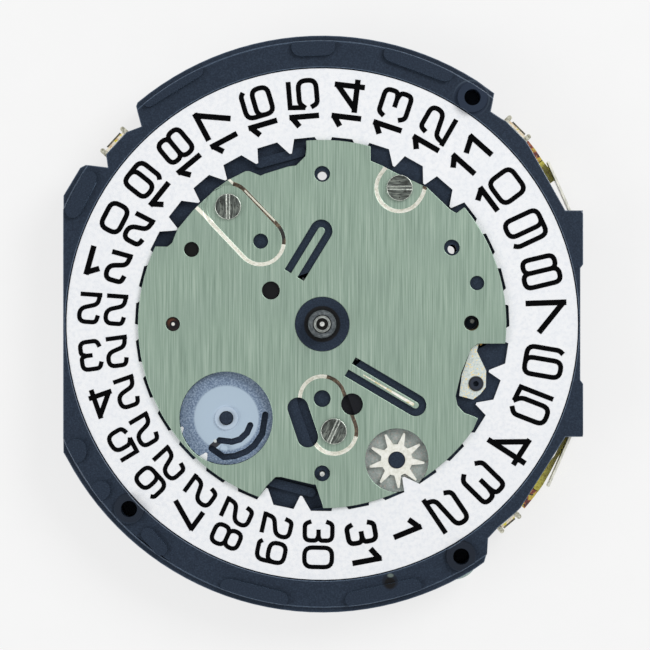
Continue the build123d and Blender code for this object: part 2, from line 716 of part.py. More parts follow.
def make_cannon_pinion():
    teeth_top = hour_bottom - level_gap
    with BuildPart() as cannon_pinion:
        teeth = gear(centre, cannon_teeth, cannon_pitch, cannon_phase, minute_bottom)
        extrude(teeth, amount=teeth_top - minute_bottom)
        hand_shaft(centre, cannon_radius, minute_bottom, cannon_seat_low, cannon_rise)
        rim = cannon_pinion.edges().filter_by(GeomType.CIRCLE).sort_by(Axis.Z)[-1]
        chamfer(rim, length=pipe_chamfer)
        extrude(disc(centre, cannon_bore_radius, minute_bottom), amount=cannon_rise - minute_bottom,
                mode=Mode.SUBTRACT)
    finish(cannon_pinion, "cannon_pinion")


minute_phase = mesh_phase(centre, minute_place, cannon_phase, cannon_teeth, minute_teeth)
minute_pinion_phase = mesh_phase(centre, minute_place, 0, hour_teeth, minute_pinion_teeth)


def make_minute_wheel():
    with BuildPart() as minute_wheel:
        wheel = gear(minute_place, minute_teeth, minute_pitch, minute_phase, minute_bottom)
        extrude(wheel, amount=minute_top - minute_bottom)
        pinion = gear(minute_place, minute_pinion_teeth, minute_pinion_pitch, minute_pinion_phase,
                      minute_top)
        extrude(pinion, amount=hour_top - minute_top)
        bore = disc(minute_place, post_bore_radius, minute_bottom)
        extrude(bore, amount=hour_top - minute_bottom, mode=Mode.SUBTRACT)
    finish(minute_wheel, "minute_wheel")


# Setting work: two wheels that the stem turns the hands with
setting_idler_phase = mesh_phase(
    minute_place, setting_idler_place, minute_phase, minute_teeth, setting_idler_teeth)
setting_phase = mesh_phase(
    setting_idler_place, setting_place, setting_idler_phase, setting_idler_teeth, setting_wheel_teeth)


def make_setting_wheels():
    with BuildPart() as setting_idler:
        face = gear(setting_idler_place, setting_idler_teeth, setting_idler_pitch, setting_idler_phase,
                    minute_bottom)
        extrude(face, amount=minute_top - minute_bottom)
        bore = disc(setting_idler_place, post_bore_radius, minute_bottom)
        extrude(bore, amount=minute_top - minute_bottom, mode=Mode.SUBTRACT)
    finish(setting_idler, "setting_idler")
    with BuildPart() as setting_wheel:
        face = gear(setting_place, setting_wheel_teeth, setting_pitch, setting_phase, minute_bottom)
        extrude(face, amount=minute_top - minute_bottom)
        bore = disc(setting_place, post_bore_radius, minute_bottom)
        extrude(bore, amount=minute_top - minute_bottom, mode=Mode.SUBTRACT)
    finish(setting_wheel, "setting_wheel")


# Calendar work: idler, date driving wheel with its finger, corrector star and jumper
date_idler_phase = mesh_phase(centre, date_idler_place, 0, hour_date_teeth, date_idler_teeth)
date_wheel_phase = mesh_phase(
    date_idler_place, date_wheel_place, date_idler_phase, date_idler_teeth, date_wheel_teeth)
date_hub_radius = 0.62
date_hub_rise = 0.12
finger_slot_shares = [
    [(0.209, 0.018), (0.192, -0.086), (0.150, -0.147), (0.108, -0.180), (0.045, -0.205),
     (-0.015, -0.210), (-0.080, -0.164)],
    [(0.128, -0.039), (0.110, -0.080), (0.073, -0.115), (0.030, -0.128), (-0.037, -0.120)],
]
finger_slot_width = 0.34
finger_nose_share = (-0.012, -0.165)
finger_nose_radius = 0.20
finger_nose_rise = 0.20
star_tip_radius = 1.50
star_root_radius = 0.85
star_phase = 34.0
star_tip_angle = 4.0
star_root_angle = 12.0
star_bottom = ring_bottom - level_gap
star_rise = 0.20
corrector_disc_radius = 1.72
corrector_disc_low = date_bottom
corrector_hub_radius = 0.75


def make_date_idler():
    with BuildPart() as date_idler:
        face = gear(date_idler_place, date_idler_teeth, date_idler_pitch, date_idler_phase, date_bottom)
        extrude(face, amount=date_disc_thickness)
        bore = disc(date_idler_place, post_bore_radius, date_bottom)
        extrude(bore, amount=date_disc_thickness, mode=Mode.SUBTRACT)
    finish(date_idler, "date_idler")


def make_date_driving_wheel():
    def here(shares):
        offset_place = spot(shares)
        return (date_wheel_place[0] + offset_place[0], date_wheel_place[1] + offset_place[1])

    with BuildPart() as date_driving_wheel:
        face = gear(date_wheel_place, date_wheel_teeth, date_wheel_pitch, date_wheel_phase, date_bottom)
        extrude(face, amount=date_disc_thickness)
        for route in finger_slot_shares:
            for start, end in zip(route, route[1:]):
                slot = pill(here(start), here(end), finger_slot_width / 2, date_bottom)
                extrude(slot, amount=date_disc_thickness, mode=Mode.SUBTRACT)
        extrude(disc(date_wheel_place, date_hub_radius, date_top), amount=date_hub_rise)
        nose = disc(here(finger_nose_share), finger_nose_radius, date_top)
        extrude(nose, amount=finger_nose_rise)
        bore = disc(date_wheel_place, date_post_radius + running_gap, date_bottom)
        extrude(bore, amount=date_disc_thickness + date_hub_rise, mode=Mode.SUBTRACT)
    finish(date_driving_wheel, "date_driving_wheel")


def make_corrector():
    step = 360 / star_teeth
    points = []
    for tooth in range(star_teeth):
        middle = star_phase + tooth * step
        points.append(polar(star_root_radius, middle - star_root_angle))
        points.append(polar(star_tip_radius, middle - star_tip_angle / 2))
        points.append(polar(star_tip_radius, middle + star_tip_angle / 2))
        points.append(polar(star_root_radius, middle + star_root_angle))
    bore_radius = star_post_radius + running_gap
    with BuildPart() as date_corrector_star:
        with BuildSketch(level(star_bottom, star_place)):
            with BuildLine():
                Polyline(*points, close=True)
            make_face()
        extrude(amount=star_rise)
        hub = disc(star_place, corrector_hub_radius, corrector_disc_low)
        extrude(hub, amount=star_bottom - corrector_disc_low)
        bore = disc(star_place, bore_radius, corrector_disc_low)
        extrude(bore, amount=star_bottom + star_rise - corrector_disc_low, mode=Mode.SUBTRACT)
    finish(date_corrector_star, "date_corrector_star")
    with BuildPart() as corrector_disc:
        washer = collar(star_place, corrector_disc_radius, corrector_hub_radius, corrector_disc_low)
        extrude(washer, amount=star_bottom - level_gap - corrector_disc_low)
    finish(corrector_disc, "corrector_disc")


jumper_pin_place = spot((0.825, -0.320))
jumper_bore_radius = 0.15
jumper_head_radius = 0.42
jumper_head_rise = 0.05
jumper_thickness = 0.20
jumper_shares = [
    (0.840, -0.105), (0.830, -0.145), (0.880, -0.250), (0.878, -0.338), (0.850, -0.375),
    (0.810, -0.405), (0.735, -0.385), (0.750, -0.270), (0.800, -0.130),
]


def make_date_jumper():
    with BuildPart() as date_jumper:
        extrude(polygon(spots(jumper_shares), ring_bottom), amount=jumper_thickness)
        head = disc(jumper_pin_place, jumper_head_radius, ring_bottom + jumper_thickness)
        extrude(head, amount=jumper_head_rise)
        bore = disc(jumper_pin_place, jumper_bore_radius, ring_bottom)
        extrude(bore, amount=jumper_thickness + jumper_head_rise, mode=Mode.SUBTRACT)
    finish(date_jumper, "date_jumper")


# Going train: seconds, centre, third and intermediate wheels and the two rotors
second_phase = 0
second_pinion_phase = 0
fifth_pinion_phase = mesh_phase(centre, fifth_place, second_phase, second_teeth, fifth_pinion_teeth)
fifth_phase = 0
rotor_a_phase = mesh_phase(fifth_place, rotor_a_place, fifth_phase, fifth_teeth, rotor_teeth)
third_phase = mesh_phase(centre, third_place, second_pinion_phase, second_pinion_teeth, third_teeth)
third_pinion_phase = 0
centre_phase = mesh_phase(third_place, centre, third_pinion_phase, third_pinion_teeth, centre_teeth)
small_phase = 0
counter_pinion_phase = mesh_phase(
    small_place, counter_place, small_phase, small_teeth, counter_pinion_teeth)
counter_phase = 0
rotor_b_phase = mesh_phase(counter_place, rotor_b_place, counter_phase, counter_teeth, rotor_teeth)
arbor_length = pivot_top - pivot_low


def make_second_wheel():
    low = second_wheel_high - train_wheel_thickness
    pinion_low = third_wheel_high - train_wheel_thickness - pinion_overlap
    with BuildPart() as second_wheel:
        hand_shaft(centre, seconds_radius, pivot_low, seconds_seat_low, seconds_rise)
        extrude(gear(centre, second_teeth, second_pitch, second_phase, low), amount=train_wheel_thickness)
        pinion = gear(centre, second_pinion_teeth, second_pinion_pitch, second_pinion_phase, pinion_low)
        extrude(pinion, amount=train_wheel_thickness + 2 * pinion_overlap)
    finish(second_wheel, "second_wheel")


def make_centre_wheel():
    low = centre_wheel_high - train_wheel_thickness
    pipe_low = low - pinion_overlap
    with BuildPart() as centre_wheel:
        extrude(gear(centre, centre_teeth, centre_pitch, centre_phase, low), amount=train_wheel_thickness)
        extrude(disc(centre, centre_pipe_radius, pipe_low), amount=small_hand_rise - pipe_low)
        extrude(disc(centre, centre_bore_radius, pipe_low), amount=small_hand_rise - pipe_low,
                mode=Mode.SUBTRACT)
    finish(centre_wheel, "centre_wheel")


def make_third_wheel():
    low = third_wheel_high - train_wheel_thickness
    pinion_low = centre_wheel_high - train_wheel_thickness - pinion_overlap
    arbor_low = centre_bridge_high - centre_bridge_thickness / 2
    with BuildPart() as third_wheel:
        extrude(disc(third_place, arbor_radius, arbor_low), amount=pivot_top - arbor_low)
        face = gear(third_place, third_teeth, third_pitch, third_phase, low)
        extrude(face, amount=train_wheel_thickness)
        pinion = gear(third_place, third_pinion_teeth, third_pinion_pitch, third_pinion_phase, pinion_low)
        extrude(pinion, amount=train_wheel_thickness + 2 * pinion_overlap)
    finish(third_wheel, "third_wheel")


def make_fifth_wheel():
    low = fifth_wheel_high - train_wheel_thickness
    pinion_low = second_wheel_high - train_wheel_thickness - pinion_overlap
    with BuildPart() as fifth_wheel:
        extrude(disc(fifth_place, arbor_radius, pivot_low), amount=arbor_length)
        face = gear(fifth_place, fifth_teeth, fifth_pitch, fifth_phase, low)
        extrude(face, amount=train_wheel_thickness)
        pinion = gear(fifth_place, fifth_pinion_teeth, fifth_pinion_pitch, fifth_pinion_phase, pinion_low)
        extrude(pinion, amount=low - pinion_low)
    finish(fifth_wheel, "fifth_wheel")


def make_rotors():
    a_low = fifth_wheel_high - train_wheel_thickness - pinion_overlap
    with BuildPart() as rotor_a:
        extrude(disc(rotor_a_place, arbor_radius, pivot_low), amount=arbor_length)
        extrude(disc(rotor_a_place, rotor_radius, stator_low), amount=stator_thickness)
        pinion = gear(rotor_a_place, rotor_teeth, rotor_a_pitch, rotor_a_phase, a_low)
        extrude(pinion, amount=stator_low - a_low)
    finish(rotor_a, "rotor_a")
    b_low = counter_wheel_high - train_wheel_thickness - pinion_overlap
    with BuildPart() as rotor_b:
        extrude(disc(rotor_b_place, arbor_radius, pivot_low), amount=arbor_length)
        extrude(disc(rotor_b_place, rotor_radius, stator_low), amount=stator_thickness)
        pinion = gear(rotor_b_place, rotor_teeth, rotor_b_pitch, rotor_b_phase, b_low)
        extrude(pinion, amount=stator_low - b_low)
    finish(rotor_b, "rotor_b")


def make_small_train():
    small_low = small_wheel_high - train_wheel_thickness
    with BuildPart() as small_hand_wheel:
        hand_shaft(small_place, seconds_radius, pivot_low, small_seat_low, small_hand_rise)
        face = gear(small_place, small_teeth, small_pitch, small_phase, small_low)
        extrude(face, amount=train_wheel_thickness)
    finish(small_hand_wheel, "small_hand_wheel")
    counter_low = counter_wheel_high - train_wheel_thickness
    with BuildPart() as counter_wheel:
        extrude(disc(counter_place, arbor_radius, pivot_low), amount=arbor_length)
        face = gear(counter_place, counter_teeth, counter_pitch, counter_phase, counter_low)
        extrude(face, amount=train_wheel_thickness)
        pinion = gear(counter_place, counter_pinion_teeth, counter_pinion_pitch, counter_pinion_phase,
                      small_low - pinion_overlap)
        extrude(pinion, amount=train_wheel_thickness + 2 * pinion_overlap)
    finish(counter_wheel, "counter_wheel")


def make_centre_bridge():
    low = centre_bridge_high - centre_bridge_thickness
    half = centre_post_radius + centre_bridge_thickness / 2
    with BuildPart() as centre_bridge:
        for place in centre_post_places:
            extrude(pill(place, third_place, half, low), amount=centre_bridge_thickness)
        bore = disc(third_place, arbor_radius + running_gap, low)
        extrude(bore, amount=centre_bridge_thickness, mode=Mode.SUBTRACT)
    finish(centre_bridge, "centre_bridge")


# Stators, cores, formers, windings and terminals of the two motors
stator_arm_radius = 0.50
stator_pad_radius = 0.80
core_width = 0.80
core_pad_radius = 0.52
coil_a_span_shares = (0.095, 0.883)
coil_b_span_shares = (0.129, 0.876)
coil_a_ends = [along(*core_a_ends, share) for share in coil_a_span_shares]
coil_b_ends = [along(*core_b_ends, share) for share in coil_b_span_shares]
coil_width = 1.50
coil_height = 1.30
coil_round = 0.40
former_wall = 0.10
former_flange = 0.16
flange_rise = 0.12
terminal_thickness = 0.08
terminal_length = 0.90
terminal_width = 1.10
coil_level = core_low + core_thickness / 2
stator_a_ring_radius = 1.15
stator_b_ring_radius = 1.00
motors = {
    "a": {
        "rotor": rotor_a_place, "ring": stator_a_ring_radius,
        "coil": coil_a_ends, "core": core_a_ends,
        "screw": back_screw_places[0], "lug": 0, "terminal": spot((-0.912, -0.252)),
        "arms": [
            spots([(-0.660, -0.260), (-0.803, -0.382)]),
            spots([(-0.500, 0.340), (-0.545, 0.560), (-0.590, 0.635), (-0.655, 0.630)]),
        ],
    },
    "b": {
        "rotor": rotor_b_place, "ring": stator_b_ring_radius,
        "coil": coil_b_ends, "core": core_b_ends,
        "screw": back_screw_places[1], "lug": 1, "terminal": spot((0.065, -1.385)),
        "arms": [
            spots([(-0.620, -0.900), (-0.820, -1.060), (-0.805, -1.150)]),
            spots([(-0.050, -1.090), (0.197, -1.258)]),
        ],
    },
}


def make_stator(name):
    motor = motors[name]
    screw_hole = screw_shank_radius + screw_gap
    with BuildPart() as stator:
        extrude(disc(motor["rotor"], motor["ring"], stator_low), amount=stator_thickness)
        for arm in motor["arms"]:
            route = [motor["rotor"]] + arm
            for start, end in zip(route, route[1:]):
                extrude(pill(start, end, stator_arm_radius, stator_low), amount=stator_thickness)
        extrude(disc(motor["screw"], stator_pad_radius, stator_low), amount=stator_thickness)
        for place, radius in ((motor["rotor"], rotor_hole_radius), (motor["screw"], screw_hole)):
            extrude(disc(place, radius, stator_low), amount=stator_thickness, mode=Mode.SUBTRACT)
    finish(stator, "stator_" + name)


def make_coil(name):
    motor = motors[name]
    start, end = motor["coil"]
    length = dist(start, end)
    across = upright(start, end, coil_level)
    fit = screw_gap
    sleeve = (core_width + 2 * (former_wall + fit), core_thickness + 2 * (former_wall + fit))
    with BuildPart() as core:
        extrude(pill(*motor["core"], core_width / 2, core_low), amount=core_thickness)
        for place in motor["core"]:
            extrude(disc(place, core_pad_radius, core_low), amount=core_thickness)
        lug_start = motor["core"][motor["lug"]]
        extrude(pill(lug_start, motor["screw"], core_pad_radius, core_low), amount=core_thickness)
        extrude(disc(motor["screw"], stator_pad_radius, core_low), amount=core_thickness)
        extrude(disc(motor["screw"], screw_shank_radius + screw_gap, core_low), amount=core_thickness,
                mode=Mode.SUBTRACT)
    finish(core, "coil_core_" + name)
    with BuildPart() as former:
        with BuildSketch(across):
            Rectangle(*sleeve)
        extrude(amount=length)
        far = across.offset(length - former_flange)
        for plane in (across, far):
            with BuildSketch(plane):
                RectangleRounded(
                    coil_width + 2 * flange_rise, coil_height + 2 * flange_rise, coil_round / 2)
            extrude(amount=former_flange)
        with BuildSketch(across):
            Rectangle(core_width + 2 * fit, core_thickness + 2 * fit)
        extrude(amount=length, mode=Mode.SUBTRACT)
    finish(former, "coil_former_" + name)
    with BuildPart() as winding:
        with BuildSketch(across.offset(former_flange)):
            RectangleRounded(coil_width, coil_height, coil_round)
            Rectangle(*sleeve, mode=Mode.SUBTRACT)
        extrude(amount=length - 2 * former_flange)
    finish(winding, "coil_winding_" + name)
    with BuildPart() as terminal:
        flat = Plane(origin=(motor["terminal"][0], motor["terminal"][1], core_low), x_dir=across.z_dir,
                     z_dir=(0, 0, 1))
        with BuildSketch(flat):
            RectangleRounded(terminal_length, terminal_width, terminal_length / 4)
        extrude(amount=-terminal_thickness)
    finish(terminal, "coil_terminal_" + name)


# Train bridge: the dark plastic plate that carries the back pivots
bridge_clearance = 0.08
bridge_region_shares = [
    (-1.40, -0.70), (-1.20, -0.86), (-1.05, -1.04), (-0.70, -1.04), (-0.10, -1.21), (0.06, -1.25),
    (0.09, -1.36), (0.12, -1.50), (0.34, -1.50), (0.36, -1.10), (0.32, -0.70), (0.42, -0.40),
    (0.50, -0.22), (0.615, -0.20), (0.615, 0.175), (0.59, 0.19), (0.56, 0.36), (0.44, 0.44),
    (0.44, 0.80), (-0.50, 0.80), (-0.53, 1.50), (-1.40, 1.50),
]
bridge_hole_shares = [
    ((-0.200, 0.015), 0.060), ((0.175, -0.835), 0.055), ((0.062, -0.578), 0.060),
    ((-1.200, -0.290), 0.055), ((-0.980, -0.670), 0.050),
]
coil_window_radius = 1.00


def make_train_bridge():
    with BuildPart() as train_bridge:
        cavity = widened(spots(train_cavity_shares), -bridge_clearance, back_high)
        region = polygon(spots(bridge_region_shares), back_high)
        extrude(cavity & region, amount=bridge_high - back_high)
        # bosses that clamp the cores at the two screws
        for place in back_screw_places[:2]:
            extrude(disc(place, post_radius, bridge_high), amount=core_low - bridge_high)
        # room for the pressed dishes of the back plate
        for start, end, wide, narrow in back_dish_shares:
            radius = wide * ring_bore_radius + level_gap
            dish = pill(spot(start), spot(end), radius, back_high)
            extrude(dish, amount=back_dish_depth, mode=Mode.SUBTRACT)
        # windows of the coils, screws, pivots and sight holes
        bridge_cut = core_low - back_high
        window = pill(*coil_a_ends, coil_window_radius, back_high)
        extrude(window, amount=bridge_cut, mode=Mode.SUBTRACT)
        holes = rounds(bridge_hole_shares)
        holes += [(place, screw_shank_radius + screw_gap) for place in back_screw_places]
        holes += [(centre, seconds_radius + running_gap), (small_place, seconds_radius + running_gap)]
        for place in (rotor_a_place, fifth_place, rotor_b_place, counter_place):
            holes.append((place, arbor_radius + running_gap))
        for place, radius in holes:
            extrude(disc(place, radius, back_high), amount=bridge_cut, mode=Mode.SUBTRACT)
    finish(train_bridge, "train_bridge")


# Electronics: circuit board, chip, quartz crystal and gold contacts
chip_shares = [(0.985, 0.445), (1.175, 0.560), (0.940, 0.930), (0.805, 0.735)]
chip_height = 0.16
crystal_place = spot((0.760, -0.860))
crystal_angle = 45.0
crystal_radius = 0.70
crystal_length = 5.20
crystal_level = -2.55
crystal_lead_radius = 0.10
crystal_lead_length = 0.70
crystal_lead_spacing = 0.50
crystal_collar = 0.06
contact_height = 0.08
board_contact_shares = [
    ((1.108, -0.343), 0.033), ((1.013, -0.257), 0.033), ((1.280, -0.435), 0.020),
    ((0.812, -0.255), 0.026), ((0.816, -0.105), 0.026), ((0.780, 0.905), 0.045),
]
bridge_contact_shares = [((0.100, -1.150), 0.040), ((-0.680, -0.290), 0.042)]


def make_electronics():
    with BuildPart() as circuit_board:
        extrude(polygon(spots(board_shares), board_low), amount=board_thickness)
        for place in through_places[1:]:
            extrude(disc(place, through_radius + screw_gap, board_low), amount=board_thickness,
                    mode=Mode.SUBTRACT)
    finish(circuit_board, "circuit_board")
    with BuildPart() as ic_chip:
        extrude(polygon(spots(chip_shares), board_low), amount=-chip_height)
    finish(ic_chip, "ic_chip")
    way = polar(1, crystal_angle)
    axis = Plane(origin=(crystal_place[0], crystal_place[1], crystal_level), x_dir=(-way[1], way[0], 0),
                 z_dir=(way[0], way[1], 0))
    with BuildPart() as quartz_crystal:
        with BuildSketch(axis.offset(-crystal_length / 2)):
            Circle(crystal_radius)
        extrude(amount=crystal_length)
        with BuildSketch(axis.offset(-crystal_length / 2)):
            Circle(crystal_radius + crystal_collar)
        extrude(amount=4 * crystal_collar)
        with BuildSketch(axis.offset(-crystal_length / 2)):
            with GridLocations(crystal_lead_spacing, 0, 2, 1):
                Circle(crystal_lead_radius)
        extrude(amount=-crystal_lead_length)
    finish(quartz_crystal, "quartz_crystal")
    with BuildPart() as contact_pins:
        for place, radius in rounds(board_contact_shares):
            extrude(disc(place, radius, board_low), amount=-contact_height)
        pin_low = back_high - contact_height / 2
        bridge_floor = back_high + back_dish_depth
        for place, radius in rounds(bridge_contact_shares[:1]):
            extrude(disc(place, radius, back_high), amount=-contact_height)
        for place, radius in rounds(bridge_contact_shares[1:]):
            extrude(disc(place, radius, bridge_floor), amount=pin_low - bridge_floor)
    finish(contact_pins, "contact_pins")


# Battery contacts: a post, a leaf under the cell and a spring at its side
post_height = 0.40
leaf_start = spot((0.195, 0.572))
leaf_end = spot((0.080, 0.900))
leaf_width = 0.85
leaf_thickness = 0.08
leaf_flat = 0.45
leaf_rise = 0.26
leaf_tip_radius = 0.38
leaf_tip_gap = 0.20
side_spring_shares = [
    (-0.375, 0.785), (-0.435, 0.860), (-0.4485, 0.900), (-0.4485, 1.085), (-0.43, 1.115), (-0.350, 1.200),
]
side_spring_thickness = 0.12
side_spring_low = -3.60
side_spring_high = -2.00


def make_battery_contacts():
    with BuildPart() as battery_post:
        extrude(disc(post_place, battery_post_radius, cell_floor), amount=-post_height)
        with BuildSketch(level(cell_floor - post_height, post_place)):
            Rectangle(2 * battery_post_radius, screw_slot_width)
        extrude(amount=screw_slot_depth, mode=Mode.SUBTRACT)
    finish(battery_post, "battery_post")
    length = dist(leaf_start, leaf_end)
    way = ((leaf_end[0] - leaf_start[0]) / length, (leaf_end[1] - leaf_start[1]) / length)
    side = Plane(origin=(leaf_start[0], leaf_start[1], cell_floor), x_dir=(way[0], way[1], 0),
                 z_dir=(way[1], -way[0], 0))
    tip = length - leaf_tip_radius
    outline = [
        (0, 0), (leaf_flat, 0), (tip, -leaf_rise), (length, -leaf_rise),
        (length, -leaf_rise - leaf_thickness), (tip, -leaf_rise - leaf_thickness),
        (leaf_flat, -leaf_thickness), (0, -leaf_thickness),
    ]
    with BuildPart() as battery_minus_contact:
        with BuildSketch(side):
            with BuildLine():
                Polyline(*outline, close=True)
            make_face()
        extrude(amount=leaf_width / 2, both=True)
        slot_start = along(leaf_start, leaf_end, (leaf_flat + leaf_tip_gap) / length)
        slot_end = along(leaf_start, leaf_end, (tip - leaf_tip_gap) / length)
        extrude(pill(slot_start, slot_end, leaf_tip_gap / 2, back_low), amount=body_depth,
                mode=Mode.SUBTRACT)
    finish(battery_minus_contact, "battery_minus_contact")
    with BuildPart() as battery_side_spring:
        route = spots(side_spring_shares)
        for start, end in zip(route, route[1:]):
            strip = pill(start, end, side_spring_thickness / 2, side_spring_low)
            extrude(strip, amount=side_spring_high - side_spring_low)
    finish(battery_side_spring, "battery_side_spring")


# Back plate: a sheet with dishes for the screws, windows and cut springs
back_outline_shares = [
    (-1.350, 0.660), (-1.275, 0.795), (-1.200, 0.845), (-1.165, 0.865), (-1.150, 0.915),
    (-1.020, 1.030), (-0.975, 1.065), (-0.955, 1.095), (-0.965, 1.160), (-0.935, 1.195),
    (-0.650, 1.360), (-0.590, 1.380), (-0.550, 1.350), (-0.515, 1.050), (-0.470, 1.040),
    (-0.475, 0.900), (-0.510, 0.860), (-0.480, 0.740), (-0.460, 0.720), (-0.340, 0.695),
    (0.000, 0.900), (0.355, 0.645), (0.455, 0.800), (0.490, 0.850), (0.545, 0.915),
    (0.550, 0.940), (0.630, 0.945), (0.660, 0.975), (0.655, 1.050), (0.615, 1.200),
    (0.560, 1.225), (0.480, 1.215), (0.450, 1.235), (0.400, 1.310), (0.330, 1.380),
    (0.275, 1.420), (0.260, 1.450), (0.275, 1.485), (0.310, 1.490), (0.420, 1.465),
    (0.480, 1.410), (0.500, 1.430), (0.680, 1.360), (0.720, 1.310), (0.745, 1.325),
    (0.830, 1.275), (0.910, 1.210), (0.905, 1.125), (0.965, 1.095), (0.970, 1.075),
    (1.075, 0.985), (1.100, 0.985), (1.130, 0.880), (1.230, 0.710), (1.300, 0.610),
    (1.310, 0.320), (1.340, 0.305), (1.340, -0.300), (1.310, -0.330), (1.310, -0.580),
    (1.260, -0.670), (1.120, -0.900), (1.040, -1.010), (0.945, -1.090), (0.870, -1.170),
    (0.860, -1.250), (0.830, -1.270), (0.600, -1.390), (0.410, -1.455), (0.350, -1.465),
    (0.110, -1.320), (0.060, -1.255), (-0.685, -1.055), (-0.715, -1.100), (-0.755, -1.250),
    (-0.810, -1.250), (-0.960, -1.160), (-0.970, -1.120), (-1.040, -1.110), (-1.250, -0.850),
    (-1.315, -0.750), (-1.320, -0.710), (-1.210, -0.600), (-1.200, -0.580), (-1.260, -0.575),
    (-1.290, -0.500), (-1.265, -0.490), (-1.280, -0.440), (-1.350, -0.410),
]
coil_window_shares = [
    (-1.030, -0.170), (-1.025, -0.210), (-0.980, -0.310), (-0.950, -0.350), (-0.920, -0.355),
    (-0.890, -0.340), (-0.800, -0.260), (-0.785, -0.220), (-0.550, 0.495), (-0.740, 0.590),
    (-0.770, 0.595), (-0.790, 0.580),
]
gear_window_shares = [
    (-0.575, -0.040), (-0.550, -0.100), (-0.340, -0.260), (-0.300, -0.280), (-0.250, -0.260),
    (-0.235, -0.220), (-0.235, -0.120), (-0.200, -0.065), (-0.150, -0.035), (-0.135, 0.0),
    (-0.150, 0.055), (-0.220, 0.200), (-0.260, 0.230), (-0.300, 0.220), (-0.330, 0.170),
    (-0.370, 0.130), (-0.540, 0.040), (-0.570, 0.0),
]
hammer_window_shares = [
    (0.350, -1.120), (0.380, -1.135), (0.410, -1.150), (0.410, -1.200), (0.510, -1.275),
    (0.550, -1.280), (0.650, -1.235), (0.665, -1.210), (0.678, -1.100), (0.660, -1.075),
    (0.640, -1.075), (0.565, -1.160), (0.550, -1.240), (0.470, -1.190), (0.530, -1.130),
    (0.585, -1.015), (0.560, -1.005), (0.490, -1.080), (0.455, -1.090), (0.380, -1.050),
    (0.345, -1.080),
]
hook_window_shares = [
    (0.315, -0.950), (0.355, -0.950), (0.355, -0.830), (0.385, -0.830), (0.385, -0.935),
    (0.425, -0.935), (0.440, -0.880), (0.485, -0.870), (0.500, -0.850), (0.485, -0.770),
    (0.460, -0.760), (0.340, -0.775), (0.310, -0.800), (0.305, -0.840),
]
fork_window_shares = [
    (0.935, -0.765), (0.965, -0.800), (1.180, -0.620), (1.150, -0.580), (1.155, -0.520),
    (1.135, -0.485), (1.105, -0.510), (1.105, -0.590), (1.060, -0.650), (1.015, -0.640),
    (1.015, -0.510), (0.985, -0.485), (0.960, -0.510), (0.960, -0.720),
]
lever_window_shares = [
    (0.595, -0.360), (0.610, -0.395), (0.650, -0.405), (0.680, -0.395), (0.830, -0.300),
    (0.850, -0.270), (0.860, -0.100), (0.840, 0.130), (0.820, 0.160), (0.790, 0.165),
    (0.765, 0.145), (0.765, -0.165), (0.630, -0.165), (0.625, 0.150), (0.605, 0.165),
    (0.500, 0.155), (0.470, 0.130), (0.465, 0.100), (0.570, -0.210), (0.595, -0.290),
]
chip_window_shares = [
    (0.985, 0.420), (1.200, 0.555), (0.935, 0.980), (0.910, 1.000), (0.880, 0.980),
    (0.865, 0.900), (0.850, 0.880), (0.780, 0.880), (0.740, 0.870), (0.660, 0.800),
    (0.665, 0.760), (0.720, 0.735), (0.780, 0.720), (0.810, 0.690), (0.960, 0.440),
]
back_hole_shares = [
    ((0.0, 0.0), 0.080), ((0.0, -0.800), 0.080), ((-0.298, -0.903), 0.050),
    ((0.062, -0.578), 0.064), ((0.158, 0.128), 0.050), ((0.068, 0.433), 0.035),
    ((0.705, 0.590), 0.050), ((-1.060, -0.800), 0.050), ((-0.980, -0.670), 0.055),
    ((-0.740, -0.580), 0.057), ((0.175, -0.835), 0.060), ((0.100, -1.150), 0.050),
    ((-0.685, -0.290), 0.050), ((1.108, -0.343), 0.045), ((1.013, -0.257), 0.045),
    ((-1.200, -0.290), 0.062), ((-1.200, 0.305), 0.038), ((1.155, -0.182), 0.062),
    ((1.155, 0.180), 0.038), ((0.698, 0.402), 0.039), ((0.378, 0.528), 0.030),
    ((1.098, 0.0), 0.048), ((1.285, -0.435), 0.045), ((0.780, 0.900), 0.055),
]
back_leaf_shares = [
    ((-0.880, 0.860), (-1.015, 0.430), 0.068), ((-0.600, -0.600), (-0.510, -0.565), 0.055),
    ((1.045, 0.300), (0.955, 0.100), 0.058),
]
back_leaf_slot_width = 0.36
thin_slot_shares = [((-0.550, 0.290), (-0.490, 0.460), 0.018), ((-0.475, 0.265), (-0.445, 0.380), 0.018)]
lever_leaf_hole_place = spot((0.695, -0.135))
lever_leaf_hole_radius = 0.28


